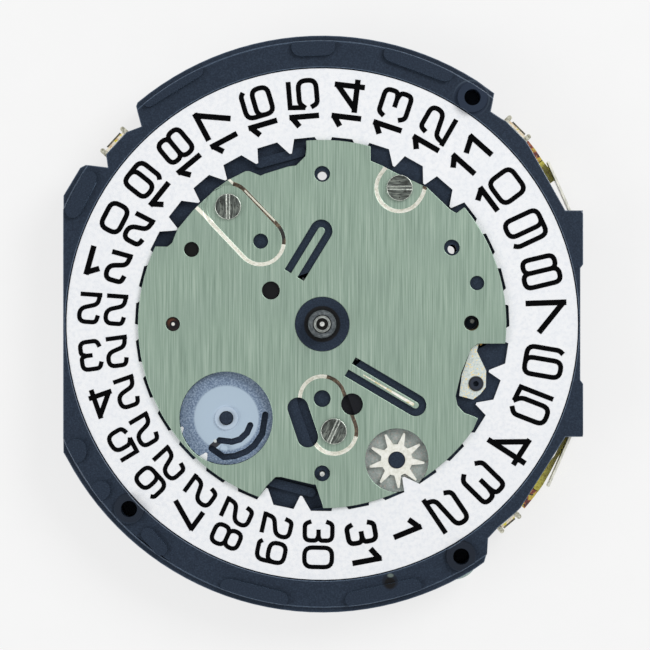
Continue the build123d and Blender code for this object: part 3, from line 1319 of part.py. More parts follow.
def make_back_plate():
    well = cell_radius + cell_clearance
    cut_low = back_low - overrun
    cut_height = back_dish_depth + back_thickness + 2 * overrun
    with BuildPart() as back_plate:
        extrude(polygon(spots(back_outline_shares), back_low), amount=back_thickness)
        for start, end, wide, narrow in back_dish_shares:
            ends = (spot(start), spot(end))
            outer = pill(*ends, wide * ring_bore_radius, back_high)
            inner = pill(*ends, narrow * ring_bore_radius, back_high + back_dish_depth)
            loft([outer, inner], ruled=True)
        for start, end, wide, narrow in back_dish_shares:
            ends = (spot(start), spot(end))
            outer = pill(*ends, wide * ring_bore_radius, back_low)
            inner = pill(*ends, narrow * ring_bore_radius, back_low + back_dish_depth)
            loft([outer, inner], ruled=True, mode=Mode.SUBTRACT)
        windows = (
            coil_window_shares, gear_window_shares, hammer_window_shares, hook_window_shares,
            fork_window_shares, lever_window_shares, chip_window_shares,
        )
        for shares in windows:
            extrude(polygon(spots(shares), cut_low), amount=cut_height, mode=Mode.SUBTRACT)
        holes = rounds(back_hole_shares) + [(cell_place, well), (post_place, battery_post_radius)]
        holes += [(place, screw_shank_radius + screw_gap) for place in back_screw_places]
        holes += [(lever_leaf_hole_place, lever_leaf_hole_radius)]
        for place, radius in holes:
            extrude(disc(place, radius, cut_low), amount=cut_height, mode=Mode.SUBTRACT)
        for root, tip, half in pills(back_leaf_shares):
            slot = leaf_slot(root, tip, half, back_leaf_slot_width, cut_low)
            extrude(slot, amount=cut_height, mode=Mode.SUBTRACT)
        for start, end, radius in pills(thin_slot_shares):
            extrude(pill(start, end, radius, cut_low), amount=cut_height, mode=Mode.SUBTRACT)
    finish(back_plate, "back_plate")


# Screws of the two sides
def make_dial_screws():
    seat = calendar_top - dial_dish_depth
    with BuildPart() as dial_screws:
        for place, angle in zip(dial_screw_places, dial_screw_angles):
            extrude(disc(place, screw_head_radius, seat), amount=screw_head_height)
            extrude(disc(place, screw_shank_radius, seat), amount=-dial_screw_length)
            with BuildSketch(level(seat + screw_head_height, place)):
                Rectangle(2 * screw_head_radius, screw_slot_width, rotation=angle)
            extrude(amount=-screw_slot_depth, mode=Mode.SUBTRACT)
    finish(dial_screws, "dial_screws")


def make_back_screws():
    seat = back_low + back_dish_depth
    with BuildPart() as back_screws:
        for place, angle in zip(back_screw_places, back_screw_angles):
            extrude(disc(place, screw_head_radius, seat), amount=-screw_head_height)
            extrude(disc(place, screw_shank_radius, seat), amount=back_screw_length)
            with BuildSketch(level(seat - screw_head_height, place)):
                Rectangle(2 * screw_head_radius, screw_slot_width, rotation=angle)
            extrude(amount=screw_slot_depth, mode=Mode.SUBTRACT)
    finish(back_screws, "back_screws")


# Keyless works: sliding pinion on the stem's axis, yoke and setting lever
pinion_start = 8.40
pinion_end = 9.70
sliding_pinion_radius = 0.62
sliding_pinion_bore = 0.30
groove_start = 8.93
groove_end = 9.31
groove_radius = 0.40
clutch_teeth = 12
clutch_tooth_depth = 0.14
yoke_arm_radius = 0.24
yoke_arm_end = 1.05
finger_width = 0.16
finger_end = 0.50
lever_ring_place = spot((0.675, -0.280))
lever_ring_radius = 0.55
lever_hole_radius = 0.30
lever_arm_shares = [
    ((0.675, -0.280), (0.615, -0.165), 0.020), ((0.675, -0.280), (0.755, -0.165), 0.024),
    ((0.755, -0.165), (0.820, -0.095), 0.024), ((0.820, -0.095), (1.100, 0.0), 0.024),
]


def make_keyless_works():
    across = upright((pinion_start, 0), (pinion_end, 0), stem_level)
    with BuildPart() as sliding_pinion:
        with BuildSketch(across):
            Circle(sliding_pinion_radius)
        extrude(amount=pinion_end - pinion_start)
        # the clutch teeth on the inner face
        with BuildSketch(across):
            with PolarLocations(sliding_pinion_radius, clutch_teeth):
                Rectangle(clutch_tooth_depth * 2, clutch_tooth_depth)
        extrude(amount=clutch_tooth_depth, mode=Mode.SUBTRACT)
        with BuildSketch(across.offset(groove_start - pinion_start)):
            Circle(sliding_pinion_radius + overrun)
            Circle(groove_radius, mode=Mode.SUBTRACT)
        extrude(amount=groove_end - groove_start, mode=Mode.SUBTRACT)
        with BuildSketch(across):
            Circle(sliding_pinion_bore)
        extrude(amount=pinion_end - pinion_start, mode=Mode.SUBTRACT)
    finish(sliding_pinion, "sliding_pinion")
    yoke_low = yoke_high - yoke_thickness
    bore_radius = pivot_post_radius + running_gap
    with BuildPart() as yoke:
        extrude(disc(yoke_place, pivot_shoulder_radius, yoke_low), amount=yoke_thickness)
        elbow = (yoke_place[0], yoke_arm_end)
        extrude(pill(yoke_place, elbow, yoke_arm_radius, yoke_low), amount=yoke_thickness)
        middle = (yoke_place[0], (yoke_arm_end + finger_end) / 2)
        with BuildSketch(level(yoke_low, middle)):
            Rectangle(finger_width, yoke_arm_end - finger_end)
        extrude(amount=yoke_thickness)
        extrude(disc(yoke_place, bore_radius, yoke_low), amount=yoke_thickness, mode=Mode.SUBTRACT)
    finish(yoke, "yoke")
    lever_low = lever_high - lever_thickness
    with BuildPart() as setting_lever:
        extrude(disc(lever_place, pivot_shoulder_radius, lever_low), amount=lever_thickness)
        extrude(disc(lever_ring_place, lever_ring_radius, lever_low), amount=lever_thickness)
        for start, end, radius in pills(lever_arm_shares):
            extrude(pill(start, end, radius, lever_low), amount=lever_thickness)
        extrude(disc(lever_ring_place, lever_hole_radius, lever_low), amount=lever_thickness,
                mode=Mode.SUBTRACT)
        extrude(disc(lever_place, bore_radius, lever_low), amount=lever_thickness, mode=Mode.SUBTRACT)
    finish(setting_lever, "setting_lever")


# Springs of the rim: pusher springs in the tabs, and clips on the slanting faces
pusher_spring_shares = [(1.230, 0.880), (1.350, 0.610), (1.366, 0.585), (1.366, 0.330)]
pusher_spring_thickness = 0.12
pusher_spring_low = -3.00
pusher_spring_high = -2.20
clip_face_shares = [
    ((-1.050, 1.030), (-1.160, 0.910)),
    ((1.090, 0.985), (0.985, 1.090)),
    ((0.945, -1.090), (1.040, -1.010)),
]
clip_length_share = 0.80
clip_thickness = 0.12
clip_low = -3.00
clip_high = -1.00


def make_rim_springs():
    for name, turn in (("upper", 1), ("lower", -1)):
        route = [(place[0], turn * place[1]) for place in spots(pusher_spring_shares)]
        with BuildPart() as pusher_spring:
            for start, end in zip(route, route[1:]):
                strip = pill(start, end, pusher_spring_thickness / 2, pusher_spring_low)
                extrude(strip, amount=pusher_spring_high - pusher_spring_low)
        finish(pusher_spring, "pusher_spring_" + name)
    with BuildPart() as rim_clips:
        for start, end in clip_face_shares:
            face = upright(spot(start), spot(end), clip_low)
            middle = along(spot(start), spot(end), 1 / 2)
            outward = (-face.x_dir.X, -face.x_dir.Y)
            place = [middle[i] + outward[i] * clip_thickness / 2 for i in range(2)]
            length = clip_length_share * dist(spot(start), spot(end))
            with BuildSketch(level(clip_low, place)):
                Rectangle(length, clip_thickness, rotation=bearing(start, end))
            extrude(amount=clip_high - clip_low)
    finish(rim_clips, "rim_clips")


make_main_plate()
make_calendar_plate()
make_centre_bush()
make_date_ring()
make_hour_wheel()
make_cannon_pinion()
make_minute_wheel()
make_setting_wheels()
make_date_idler()
make_date_driving_wheel()
make_corrector()
make_date_jumper()
make_second_wheel()
make_centre_wheel()
make_third_wheel()
make_fifth_wheel()
make_rotors()
make_small_train()
make_centre_bridge()
for motor_name in motors:
    make_stator(motor_name)
    make_coil(motor_name)
make_train_bridge()
make_electronics()
make_battery_contacts()
make_back_plate()
make_dial_screws()
make_back_screws()
make_keyless_works()
make_rim_springs()
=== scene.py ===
import json
import math

import bmesh
import bpy
import numpy as np
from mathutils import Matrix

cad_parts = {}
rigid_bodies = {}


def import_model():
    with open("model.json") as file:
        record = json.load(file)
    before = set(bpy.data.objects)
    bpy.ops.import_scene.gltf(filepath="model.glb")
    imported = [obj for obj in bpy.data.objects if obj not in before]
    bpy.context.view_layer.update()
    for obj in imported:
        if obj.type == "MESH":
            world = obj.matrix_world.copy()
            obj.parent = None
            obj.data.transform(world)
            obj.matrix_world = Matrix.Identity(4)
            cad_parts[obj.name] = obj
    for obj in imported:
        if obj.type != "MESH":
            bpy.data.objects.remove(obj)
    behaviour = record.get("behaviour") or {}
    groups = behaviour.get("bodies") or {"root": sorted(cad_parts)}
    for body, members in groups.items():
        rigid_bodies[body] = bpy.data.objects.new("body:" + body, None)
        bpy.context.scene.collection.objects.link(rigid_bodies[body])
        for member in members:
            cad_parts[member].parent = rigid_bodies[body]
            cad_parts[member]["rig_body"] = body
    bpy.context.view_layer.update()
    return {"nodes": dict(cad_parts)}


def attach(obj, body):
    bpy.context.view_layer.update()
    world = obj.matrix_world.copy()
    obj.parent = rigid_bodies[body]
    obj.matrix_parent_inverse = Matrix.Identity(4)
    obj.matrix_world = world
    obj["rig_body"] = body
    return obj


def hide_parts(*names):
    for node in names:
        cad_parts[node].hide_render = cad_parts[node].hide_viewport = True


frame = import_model()
nodes = frame["nodes"]
nodeBody = {name: piece["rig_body"] for name, piece in nodes.items()}

mm = 0.001
blendAngle = 35  # degrees up to which the faces of a small piece blend
print("frame loaded:", len(nodes), "nodes")


# Small helpers

def paint(tone):
    # an 8-bit screen colour as the linear one that a shader takes
    parts = [c / 255 for c in tone]
    linear = [c / 12.92 if c <= 0.04045 else ((c + 0.055) / 1.055) ** 2.4 for c in parts]
    return (*linear, 1.0)


def polar(angle):
    # the direction at an angle in degrees
    return np.array([math.cos(math.radians(angle)), math.sin(math.radians(angle))])


def roundTurn(count):
    # so many angles evenly round a full turn
    return np.linspace(0, 2 * np.pi, count, endpoint=False)


def unit(vector):
    return vector / np.linalg.norm(vector)


def linked(name, data):
    # an object of the scene that shows some data
    thing = bpy.data.objects.new(name, data)
    bpy.context.scene.collection.objects.link(thing)
    return thing


def newPiece(name, points, faces, body, finish, slot, smooth):
    # points come in millimetres; smooth is the angle, in degrees, up to which faces blend
    mesh = bpy.data.meshes.new(name)
    corners = (np.asarray(points, float) * mm).tolist()
    mesh.from_pydata(corners, [], [list(map(int, f)) for f in faces])
    mesh.update()
    mesh.polygons.foreach_set("use_smooth", [True] * len(mesh.polygons))
    mesh.set_sharp_from_angle(angle=math.radians(smooth))
    mesh.materials.append(finishes[finish])
    piece = linked(name, mesh)
    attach(piece, body)
    return piece


def gridFaces(rows, columns, closeRows=False, closeColumns=False, first=0):
    # quads of a grid of points, numbered row by row
    r = np.arange(rows if closeRows else rows - 1)
    c = np.arange(columns if closeColumns else columns - 1)
    r, c = np.meshgrid(r, c, indexing="ij")
    a = r * columns + c
    b = r * columns + (c + 1) % columns
    d = ((r + 1) % rows) * columns + c
    e = ((r + 1) % rows) * columns + (c + 1) % columns
    return (np.stack([a, b, e, d], -1).reshape(-1, 4) + first).tolist()


cornerShare = 0.49  # the most of its edge that a rounded corner may take up


def roundedPath(points, radius, steps=6, closed=False):
    # every corner becomes a short quadratic curve that starts and ends a radius away from it
    points = [np.array(p, float) for p in points]
    count = len(points)
    curve = []
    for i in range(count):
        if not closed and i in (0, count - 1):
            curve.append(points[i])
            continue
        here = points[i]
        back, ahead = points[i - 1] - here, points[(i + 1) % count] - here
        backLength, aheadLength = np.linalg.norm(back), np.linalg.norm(ahead)
        reach = min(radius, cornerShare * backLength, cornerShare * aheadLength)
        start = here + back / backLength * reach
        end = here + ahead / aheadLength * reach
        for t in np.linspace(0, 1, steps):
            curve.append((1 - t) ** 2 * start + 2 * t * (1 - t) * here + t * t * end)
    return np.array(curve)


mitreLimit = {"least": 0.5, "most": 1.6}  # how sharp a corner counts, how far a mitre stretches


def sweepStrip(path, width, low, high, closed=False):
    # a bar of oblong section along a flat path, mitred at its corners
    path = np.asarray(path, float)
    ahead = np.roll(path, -1, 0) - path
    behind = path - np.roll(path, 1, 0)
    if not closed:
        ahead[-1], behind[0] = behind[-1], ahead[0]
    ahead /= np.linalg.norm(ahead, axis=1)[:, None]
    behind /= np.linalg.norm(behind, axis=1)[:, None]
    onward = ahead + behind
    onward /= np.linalg.norm(onward, axis=1)[:, None]
    stretch = 1 / np.maximum((onward * ahead).sum(1), mitreLimit["least"])
    stretch = np.clip(stretch, 1, mitreLimit["most"])
    side = np.stack([-onward[:, 1], onward[:, 0]], 1) * (np.asarray(width) / 2 * stretch)[:, None]
    left, right = path + side, path - side
    low = np.broadcast_to(np.asarray(low, float), len(path))
    high = np.broadcast_to(np.asarray(high, float), len(path))
    corners = [np.column_stack([p, z])
               for p, z in ((left, low), (left, high), (right, high), (right, low))]
    points = np.stack(corners, 1).reshape(-1, 3)
    faces = [f[::-1] for f in gridFaces(len(path), 4, closeRows=closed, closeColumns=True)]
    if not closed:
        last = (len(path) - 1) * 4
        faces += [[0, 1, 2, 3], [last + 3, last + 2, last + 1, last]]
    return points, faces


def turnsLeft(outline):
    # whether an outline runs anticlockwise: twice its signed area is above nothing
    x, y = np.asarray(outline, float).T
    return float((x * np.roll(y, -1) - np.roll(x, -1) * y).sum()) > 0


def flatPiece(name, outline, low, high, finish, slot):
    # a flat piece of the frame with an upright wall round its outline
    count = len(outline)
    points = np.concatenate([np.column_stack([outline, np.full(count, z)]) for z in (low, high)])
    order = list(range(count)) if turnsLeft(outline) else list(range(count))[::-1]
    faces = [order[::-1], [i + count for i in order]]
    faces += [[a, b, b + count, a + count] for a, b in zip(order, order[1:] + order[:1])]
    newPiece(name, points, faces, "frame", finish, slot, blendAngle)


def joined(parts):
    # several (points, faces) pairs as one
    points, faces, count = [], [], 0
    for p, f in parts:
        points.append(np.asarray(p, float))
        faces += [[i + count for i in face] for face in f]
        count += len(p)
    return np.concatenate(points), faces


softLook = {
    "join": 1e-6,  # metres between corners that become one
    "flat": 0.6,  # degrees between faces that become one
    "rings": 2,  # faces across a broken edge
    "level": 0.999,  # a face whose normal is more upright than this stays flat shaded
}


def softened(node, piece, width, looks, slot, pick=None, edge=-1, near=None, wanted=None):
    # a copy of a solid with its flat faces whole again and its edges broken by a small bevel. looks
    # names its finishes; pick gives a face the number of its finish from its normal and middle,
    # edge is the bevels' one, near (x, y, reach) keeps what stands there, and wanted says from an
    # edge's two ends, in millimetres, whether it is broken
    soft = bmesh.new()
    soft.from_mesh(nodes[node].data)
    bmesh.ops.remove_doubles(soft, verts=soft.verts, dist=softLook["join"])
    if near:
        x, y, reach = near
        away = [v for v in soft.verts if math.hypot(v.co.x / mm - x, v.co.y / mm - y) > reach]
        bmesh.ops.delete(soft, geom=away, context="VERTS")
    bmesh.ops.dissolve_limit(soft, angle_limit=math.radians(softLook["flat"]), verts=soft.verts,
                             edges=soft.edges)
    corners = np.array([v.co for v in soft.verts])
    soft.normal_update()
    for face in soft.faces:
        face.material_index = pick(face.normal, face.calc_center_median() / mm) if pick else 0
    sharp = math.radians(blendAngle)
    edges = [e for e in soft.edges if len(e.link_faces) == 2 and e.calc_face_angle(0) > sharp]
    if wanted:
        edges = [e for e in edges if wanted(e.verts[0].co / mm, e.verts[1].co / mm)]
    bmesh.ops.bevel(soft, geom=edges, offset=width * mm, offset_type="OFFSET",
                    segments=softLook["rings"], profile=0.5, affect="EDGES", clamp_overlap=False,
                    material=edge)
    soft.verts.index_update()
    points = np.array([v.co for v in soft.verts])
    points = np.clip(points, corners.min(0), corners.max(0)) / mm
    faces = [[v.index for v in f.verts] for f in soft.faces]
    kinds = [f.material_index for f in soft.faces]
    bent = [abs(f.normal.z) < softLook["level"] for f in soft.faces]
    soft.free()
    made = newPiece(piece, points, faces, nodeBody[node], looks[0], slot, blendAngle)
    made.data.polygons.foreach_set("use_smooth", bent)
    for look in looks[1:]:
        made.data.materials.append(finishes[look])
    made.data.polygons.foreach_set("material_index", kinds)
    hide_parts(node)


# Finishes

def feed(tree, value, socket):
    # a socket takes what another one gives, or a constant
    if isinstance(value, bpy.types.NodeSocket):
        tree.links.new(value, socket)
    else:
        socket.default_value = value


def addNode(tree, kind, sockets=None, **settings):
    # a new node; sockets says what its inputs take
    node = tree.nodes.new(kind)
    for key, value in settings.items():
        setattr(node, key, value)
    for key, value in (sockets or {}).items():
        feed(tree, value, node.inputs[key])
    return node


def worked(tree, operation, *values):
    # one sum on sockets or numbers
    return addNode(tree, "ShaderNodeMath", dict(enumerate(values)), operation=operation).outputs[0]


def mapped(tree, coords, features, turn=0.0, centre=(0, 0, 0)):
    # object coordinates, counted in features a millimetre along each axis or along all of them
    sizes = [mm / float(f) for f in np.broadcast_to(features, 3)]
    sockets = {"Vector": coords, "Location": [c * mm for c in centre],
               "Rotation": (0, 0, math.radians(turn)), "Scale": sizes}
    return addNode(tree, "ShaderNodeMapping", sockets, vector_type="TEXTURE").outputs["Vector"]


def noise(tree, vector, detail=4.0, rough=0.6):
    sockets = {"Vector": vector, "Scale": 1.0, "Detail": detail, "Roughness": rough}
    return addNode(tree, "ShaderNodeTexNoise", sockets).outputs["Fac"]


def ramp(tree, source, stops):
    node = addNode(tree, "ShaderNodeValToRGB", {"Fac": source})
    bars = node.color_ramp.elements
    while len(bars) < len(stops):
        bars.new(0.5)
    for bar, (at, colour) in zip(bars, stops):
        bar.position = at
        bar.color = colour if hasattr(colour, "__len__") else (colour, colour, colour, 1)
    return node.outputs["Color"]


def mixed(tree, share, first, second):
    # a colour mix: socket 0 is the share, 6 and 7 are the two colours, and 2 gives the result
    sockets = {0: share, 6: first, 7: second}
    return addNode(tree, "ShaderNodeMix", sockets, data_type="RGBA").outputs[2]


def fitted(tree, source, low, high, start=0.3, end=0.7):
    sockets = {"Value": source, "From Min": start, "From Max": end, "To Min": low, "To Max": high}
    return addNode(tree, "ShaderNodeMapRange", sockets).outputs["Result"]


plainLook = {
    "tones": ((100, 100, 100), (120, 120, 120), (140, 140, 140)),  # dark, middle and light
    "spread": 0.14,  # how far from the middle of the grain the dark and light tones lie
    "features": 6,  # grain features a millimetre
    "turn": 0, "centre": (0, 0, 0),
    "metal": 0.0, "rough": (0.3, 0.5), "bump": 0.003,
    "specks": None,  # (features a millimetre, share of the surface, colour)
    "patches": None,  # (features a millimetre, strength, colour)
    "marks": (),  # (kind, place, turn, half length, half width, softness, colour)
    "fades": (),  # (place, direction in degrees, from, to, strength, colour)
    "stripe": None,  # (place, direction across it in degrees, half width, colour)
    "coat": 0.0, "clear": 0.0, "specular": 0.5,
}
grainLook = {
    "detail": 5.0, "relief": 0.6,
    "patchDetail": 3.0, "patchFrom": 0.45, "patchTo": 0.7,
    "speckDetail": 1.0, "speckTop": 0.72, "speckEdge": 0.03,
    "raggedEdge": 1.6, "stripeFrom": 1.5, "stripeTo": 2.1, "stripeStrength": 0.9,
    "upright": 0.001,  # features a millimetre of a mark along z: height hardly counts
}


def along(tree, coords, place, turn):
    # how many millimetres a point lies from a place in a direction
    vector = mapped(tree, coords, 1, turn, place)
    return addNode(tree, "ShaderNodeSeparateXYZ", {0: vector}).outputs["X"]


def marked(tree, coords, colour, marks):
    # soft-edged discs and boxes of another tone, each painted over what lies under it
    for kind, place, turn, long, wide, soft, tone in marks:
        vector = mapped(tree, coords, (1 / long, 1 / wide, grainLook["upright"]), turn, (*place, 0))
        if kind == "disc":
            away = addNode(tree, "ShaderNodeVectorMath", {0: vector}, operation="LENGTH")
            reach = away.outputs["Value"]
        else:
            both = addNode(tree, "ShaderNodeVectorMath", {0: vector}, operation="ABSOLUTE")
            parts = addNode(tree, "ShaderNodeSeparateXYZ", {0: both.outputs["Vector"]})
            reach = worked(tree, "MAXIMUM", parts.outputs["X"], parts.outputs["Y"])
        share = fitted(tree, reach, 1.0, 0.0, 1 - soft, 1 + soft)
        colour = mixed(tree, share, colour, paint(tone))
    return colour


def makeFinish(name, **changes):
    # grain in three tones, then worn patches, specks, marks, fades and a stripe; many marks and
    # a fade are painted shade and painted highlights; the grain also drives gloss and relief
    look = {**plainLook, **changes}
    finish = bpy.data.materials.new(name)
    finish.use_nodes = True
    tree = finish.node_tree
    coords = addNode(tree, "ShaderNodeTexCoord").outputs["Object"]
    grain = noise(tree, mapped(tree, coords, look["features"], look["turn"], look["centre"]),
                  grainLook["detail"])
    places = (0.5 - look["spread"], 0.5, 0.5 + look["spread"])
    colour = ramp(tree, grain, [(at, paint(tone)) for at, tone in zip(places, look["tones"])])
    if look["patches"]:
        size, strength, tone = look["patches"]
        cloud = noise(tree, mapped(tree, coords, size), grainLook["patchDetail"], 0.5)
        share = ramp(tree, cloud, [(grainLook["patchFrom"], 0.0), (grainLook["patchTo"], strength)])
        colour = mixed(tree, share, colour, paint(tone))
    if look["specks"]:
        size, amount, tone = look["specks"]
        dots = noise(tree, mapped(tree, coords, size), grainLook["speckDetail"], 0.5)
        edge = grainLook["speckTop"] - amount
        share = ramp(tree, dots, [(edge, 0.0), (edge + grainLook["speckEdge"], 1.0)])
        colour = mixed(tree, share, colour, paint(tone))
    colour = marked(tree, coords, colour, look["marks"])
    for place, turn, start, end, strength, tone in look["fades"]:
        reach = fitted(tree, along(tree, coords, place, turn), 0.0, strength, start, end)
        colour = mixed(tree, reach, colour, paint(tone))
    if look["stripe"]:
        place, turn, half, tone = look["stripe"]
        away = worked(tree, "ABSOLUTE", along(tree, coords, place, turn))
        ragged = worked(tree, "MULTIPLY_ADD", grain, half * grainLook["raggedEdge"], away)
        share = fitted(tree, ragged, grainLook["stripeStrength"], 0.0,
                       half * grainLook["stripeFrom"], half * grainLook["stripeTo"])
        colour = mixed(tree, share, colour, paint(tone))
    bump = addNode(tree, "ShaderNodeBump", {"Strength": grainLook["relief"],
                                            "Distance": look["bump"] * mm, "Height": grain})
    shader = tree.nodes["Principled BSDF"]
    for key, value in (("Base Color", colour), ("Roughness", fitted(tree, grain, *look["rough"])),
                       ("Normal", bump.outputs["Normal"]), ("Metallic", look["metal"]),
                       ("Coat Weight", look["coat"]), ("Transmission Weight", look["clear"]),
                       ("Specular IOR Level", look["specular"])):
        feed(tree, value, shader.inputs[key])
    return finish


# What several finishes share

brushed = {"features": (15, 0.28, 9), "metal": 0.5, "rough": (0.32, 0.48), "bump": 0.0015,
           "spread": 0.2}
brassTones = ((170, 136, 66), (205, 171, 92), (228, 200, 126))
copperTones = ((216, 132, 92), (250, 172, 130), (255, 205, 168))
# the first two tones are for painted highlight and painted sheen on the back plate's bent and
# sloping parts; the third is gilt
paintedHighlightTone, pale, goldTone = (227, 233, 232), (206, 214, 216), (205, 186, 62)

# Each mark: kind, place, turn, half length, half width, softness, colour

def disc(place, radius, soft, tone):
    return "disc", place, 0, radius, radius, soft, tone


dialMarksPaintedShadeAndLight = [
    # what shows at the bottom of the calendar plate's holes, and the gap round the hour pipe:
    # dark discs of painted shade, a brown ring, and two white dots of painted light where the floor
    # shows through
    disc((-8.0, 0.0), 0.38, 0.06, (40, 34, 32)),
    disc((-8.08, 0.1), 0.22, 0.3, (92, 58, 44)),
    disc((-7.97, -0.02), 0.22, 0.1, (16, 16, 18)),
    disc((-8.0, 0.0), 0.09, 0.2, (240, 240, 234)),
    disc((-7.0, 4.0), 0.42, 0.05, (2, 2, 2)),
    disc((-2.75, 1.8), 0.5, 0.05, (4, 5, 8)),
    disc((1.6, -4.3), 0.6, 0.05, (12, 14, 20)),
    disc((0.0, 0.0), 0.97, 0.03, (12, 13, 15)),
    disc((8.08, 0.16), 0.11, 0.2, (255, 255, 250)),
    # bosses round the dial feet's holes, and a small blind hole at the rim, dark with painted
    # shade and with a painted glint on its upper side
    disc((8.01, 12.14), 0.98, 0.03, (66, 78, 92)),
    disc((7.97, 12.08), 0.95, 0.04, (36, 47, 64)),
    disc((-10.32, -9.83), 0.82, 0.06, (28, 36, 48)),
    disc((7.41, -12.39), 0.82, 0.06, (26, 33, 44)),
    disc((3.63, -13.8), 0.42, 0.1, (24, 30, 40)),
    disc((3.63, -13.88), 0.28, 0.12, (9, 9, 11)),
    ("disc", (3.66, -13.48), 0, 0.16, 0.1, 0.3, (104, 116, 112)),
]

plateHighlightMarks = [
    # painted highlight: the long dish's pale sides run on to the plate's edge
    ("box", (-6.32, 5.84), -44.3, 0.62, 0.10, 0.1, (238, 236, 222)),
    ("box", (-4.95, 7.70), -44, 0.26, 0.07, 0.1, (238, 236, 222)),
]

underMarksAndPaintedShade = [
    # ejector marks, ribs and painted shadows on the floor of the cell's well
    disc((-1.72, 7.40), 0.66, 0.08, (24, 33, 58)),
    disc((-1.72, 7.40), 0.50, 0.12, (30, 42, 72)),
    disc((3.33, 10.5), 0.74, 0.07, (18, 26, 48)),
    disc((3.33, 10.5), 0.58, 0.12, (28, 38, 66)),
    ("box", (5.0, 9.9), 25, 1.2, 0.9, 0.3, (22, 30, 54)),
    ("box", (-3.9, 13.2), -35, 0.55, 0.32, 0.12, (50, 64, 104)),
    ("box", (-2.3, 13.6), 40, 2.0, 0.10, 0.3, (22, 30, 54)),
    ("box", (0.2, 11.0), -38, 2.6, 0.05, 0.4, (44, 58, 94)),
    ("box", (2.2, 9.0), -30, 1.5, 0.05, 0.4, (24, 33, 58)),
    ("box", (2.0, 12.4), 20, 2.4, 0.05, 0.4, (44, 58, 94)),
    ("box", (-0.6, 6.1), 0, 0.9, 0.5, 0.4, (34, 48, 80)),
    # painted shade in dark holes and in the coils' pockets
    disc((-10.6, -8.0), 0.55, 0.05, (10, 10, 12)),
    disc((-7.4, -5.8), 0.62, 0.05, (10, 10, 12)),
    disc((-9.8, -6.7), 0.34, 0.1, (24, 34, 58)),
    disc((7.05, 5.9), 0.2, 0.2, (16, 22, 38)),
    ("box", (-7.9, 1.5), 74, 4.75, 1.45, 0.04, (9, 10, 14)),
    ("box", (-3.35, -11.8), -16.2, 3.9, 0.5, 0.08, (9, 10, 14)),
]

wheelMarks = [
    # the date wheel's smooth middle and boss, and the bend that joins its finger's two slots,
    # painted dark as shade in the gap
    disc((-5.15, -5.05), 1.74, 0.03, (178, 197, 214)),
    disc((-5.15, -5.05), 0.72, 0.03, (188, 205, 222)),
    ("box", (-5.72, -6.44), 40, 0.36, 0.17, 0.06, (0, 5, 20)),
    disc((-5.75, -6.28), 0.09, 0.3, (206, 214, 214)),
]

# the jumper's hole, a black ring of painted shade round the navy below it; the hole beside it,
# black with painted shade round the pivot seen through it; and the painted shade on the long
# dish's dark side, with a pale line of painted highlight along its outer half and a spot of
# painted shade
jumperMarks = [disc((8.25, -3.2), 0.41, 0.05, (10, 12, 16)),
               disc((8.25, -3.2), 0.32, 0.12, (24, 33, 48))]
brassMarks = [disc((8.03, 0.1), 0.43, 0.06, (14, 15, 18)),
              disc((7.96, 0.0), 0.31, 0.2, (46, 50, 54))]
dishHighlightAndShadeMarks = [("box", (-3.35, 6.35), -45.2, 1.15, 0.045, 0.03, (232, 228, 212)),
             disc((-2.14, 4.85), 0.35, 0.3, (12, 10, 9))]

# most marks here are painted highlights, where the back plate's tongues bend and its pressings
# slope; the stem's recess gets a painted sheen
backMarksPaintedHighlights = [
    ("box", (7.03, -0.05), 0, 0.68, 1.62, 0.04, paintedHighlightTone),  # tongue of the lever window
    disc((6.99, -1.31), 0.30, 0.15, (40, 50, 58)),
    ("box", (12.6, 0.05), 0, 1.25, 0.85, 0.45, pale),  # the stem's recess
    ("box", (13.45, 1.0), 0, 0.35, 2.3, 0.3, paintedHighlightTone),
    disc((10.98, 0.0), 0.44, 0.15, (32, 40, 72)),
    ("box", (-5.52, -5.84), 21, 0.50, 0.19, 0.2, paintedHighlightTone),  # stub tongue
    ("box", (-9.98, 4.85), 72.6, 0.7, 0.12, 0.15, paintedHighlightTone),  # long tongue, wider at its root
    ("box", (-9.60, 6.05), 72.6, 0.7, 0.17, 0.1, paintedHighlightTone),
    ("box", (-9.15, 7.45), 72.6, 0.9, 0.22, 0.1, paintedHighlightTone),
    ("box", (5.09, -12.03), -32, 0.56, 0.2, 0.15, paintedHighlightTone),  # hammer, hook and fork
    ("box", (5.62, -11.1), 57, 1.05, 0.17, 0.15, paintedHighlightTone),
    ("box", (3.70, -8.72), 0, 0.16, 0.55, 0.15, paintedHighlightTone),
    ("box", (10.45, -6.85), 55, 1.5, 0.17, 0.2, paintedHighlightTone),
    ("box", (10.95, -7.0), 55, 1.1, 0.06, 0.3, (120, 140, 130)),
    ("box", (10.62, -5.6), 0, 0.4, 0.8, 0.12, paintedHighlightTone),
    ("box", (4.35, -13.55), -56, 1.15, 0.3, 0.15, paintedHighlightTone),  # the lower coil's screw dish runs out
    ("box", (-4.72, 4.1), 72, 0.9, 0.12, 0.2, paintedHighlightTone),  # contact tongue
    ("disc", (-4.28, 5.45), 72, 0.52, 0.30, 0.12, (206, 212, 200)),
    ("box", (9.72, 1.35), 66, 0.42, 0.2, 0.15, goldTone),  # tongue with a gilt tip
    ("box", (10.15, 2.35), 66, 0.65, 0.12, 0.2, paintedHighlightTone),
    ("box", (3.85, 4.75), -38, 0.72, 0.5, 0.2, paintedHighlightTone),  # tag at the lower screw
    ("box", (6.0, 8.55), -41, 1.0, 0.34, 0.15, paintedHighlightTone),  # bars round the chip
    ("box", (7.7, 10.55), 0, 1.15, 0.27, 0.2, paintedHighlightTone),
    ("box", (9.0, 10.15), 108, 0.5, 0.24, 0.3, paintedHighlightTone),
    ("box", (11.15, -8.05), -35, 0.42, 0.3, 0.15, paintedHighlightTone),  # bars at the edge
    ("box", (11.75, -7.05), -35, 0.35, 0.22, 0.15, paintedHighlightTone),
    ("box", (11.75, 7.1), 33, 0.42, 0.24, 0.15, paintedHighlightTone),
    ("box", (11.2, 8.4), 33, 0.42, 0.24, 0.15, paintedHighlightTone),
]

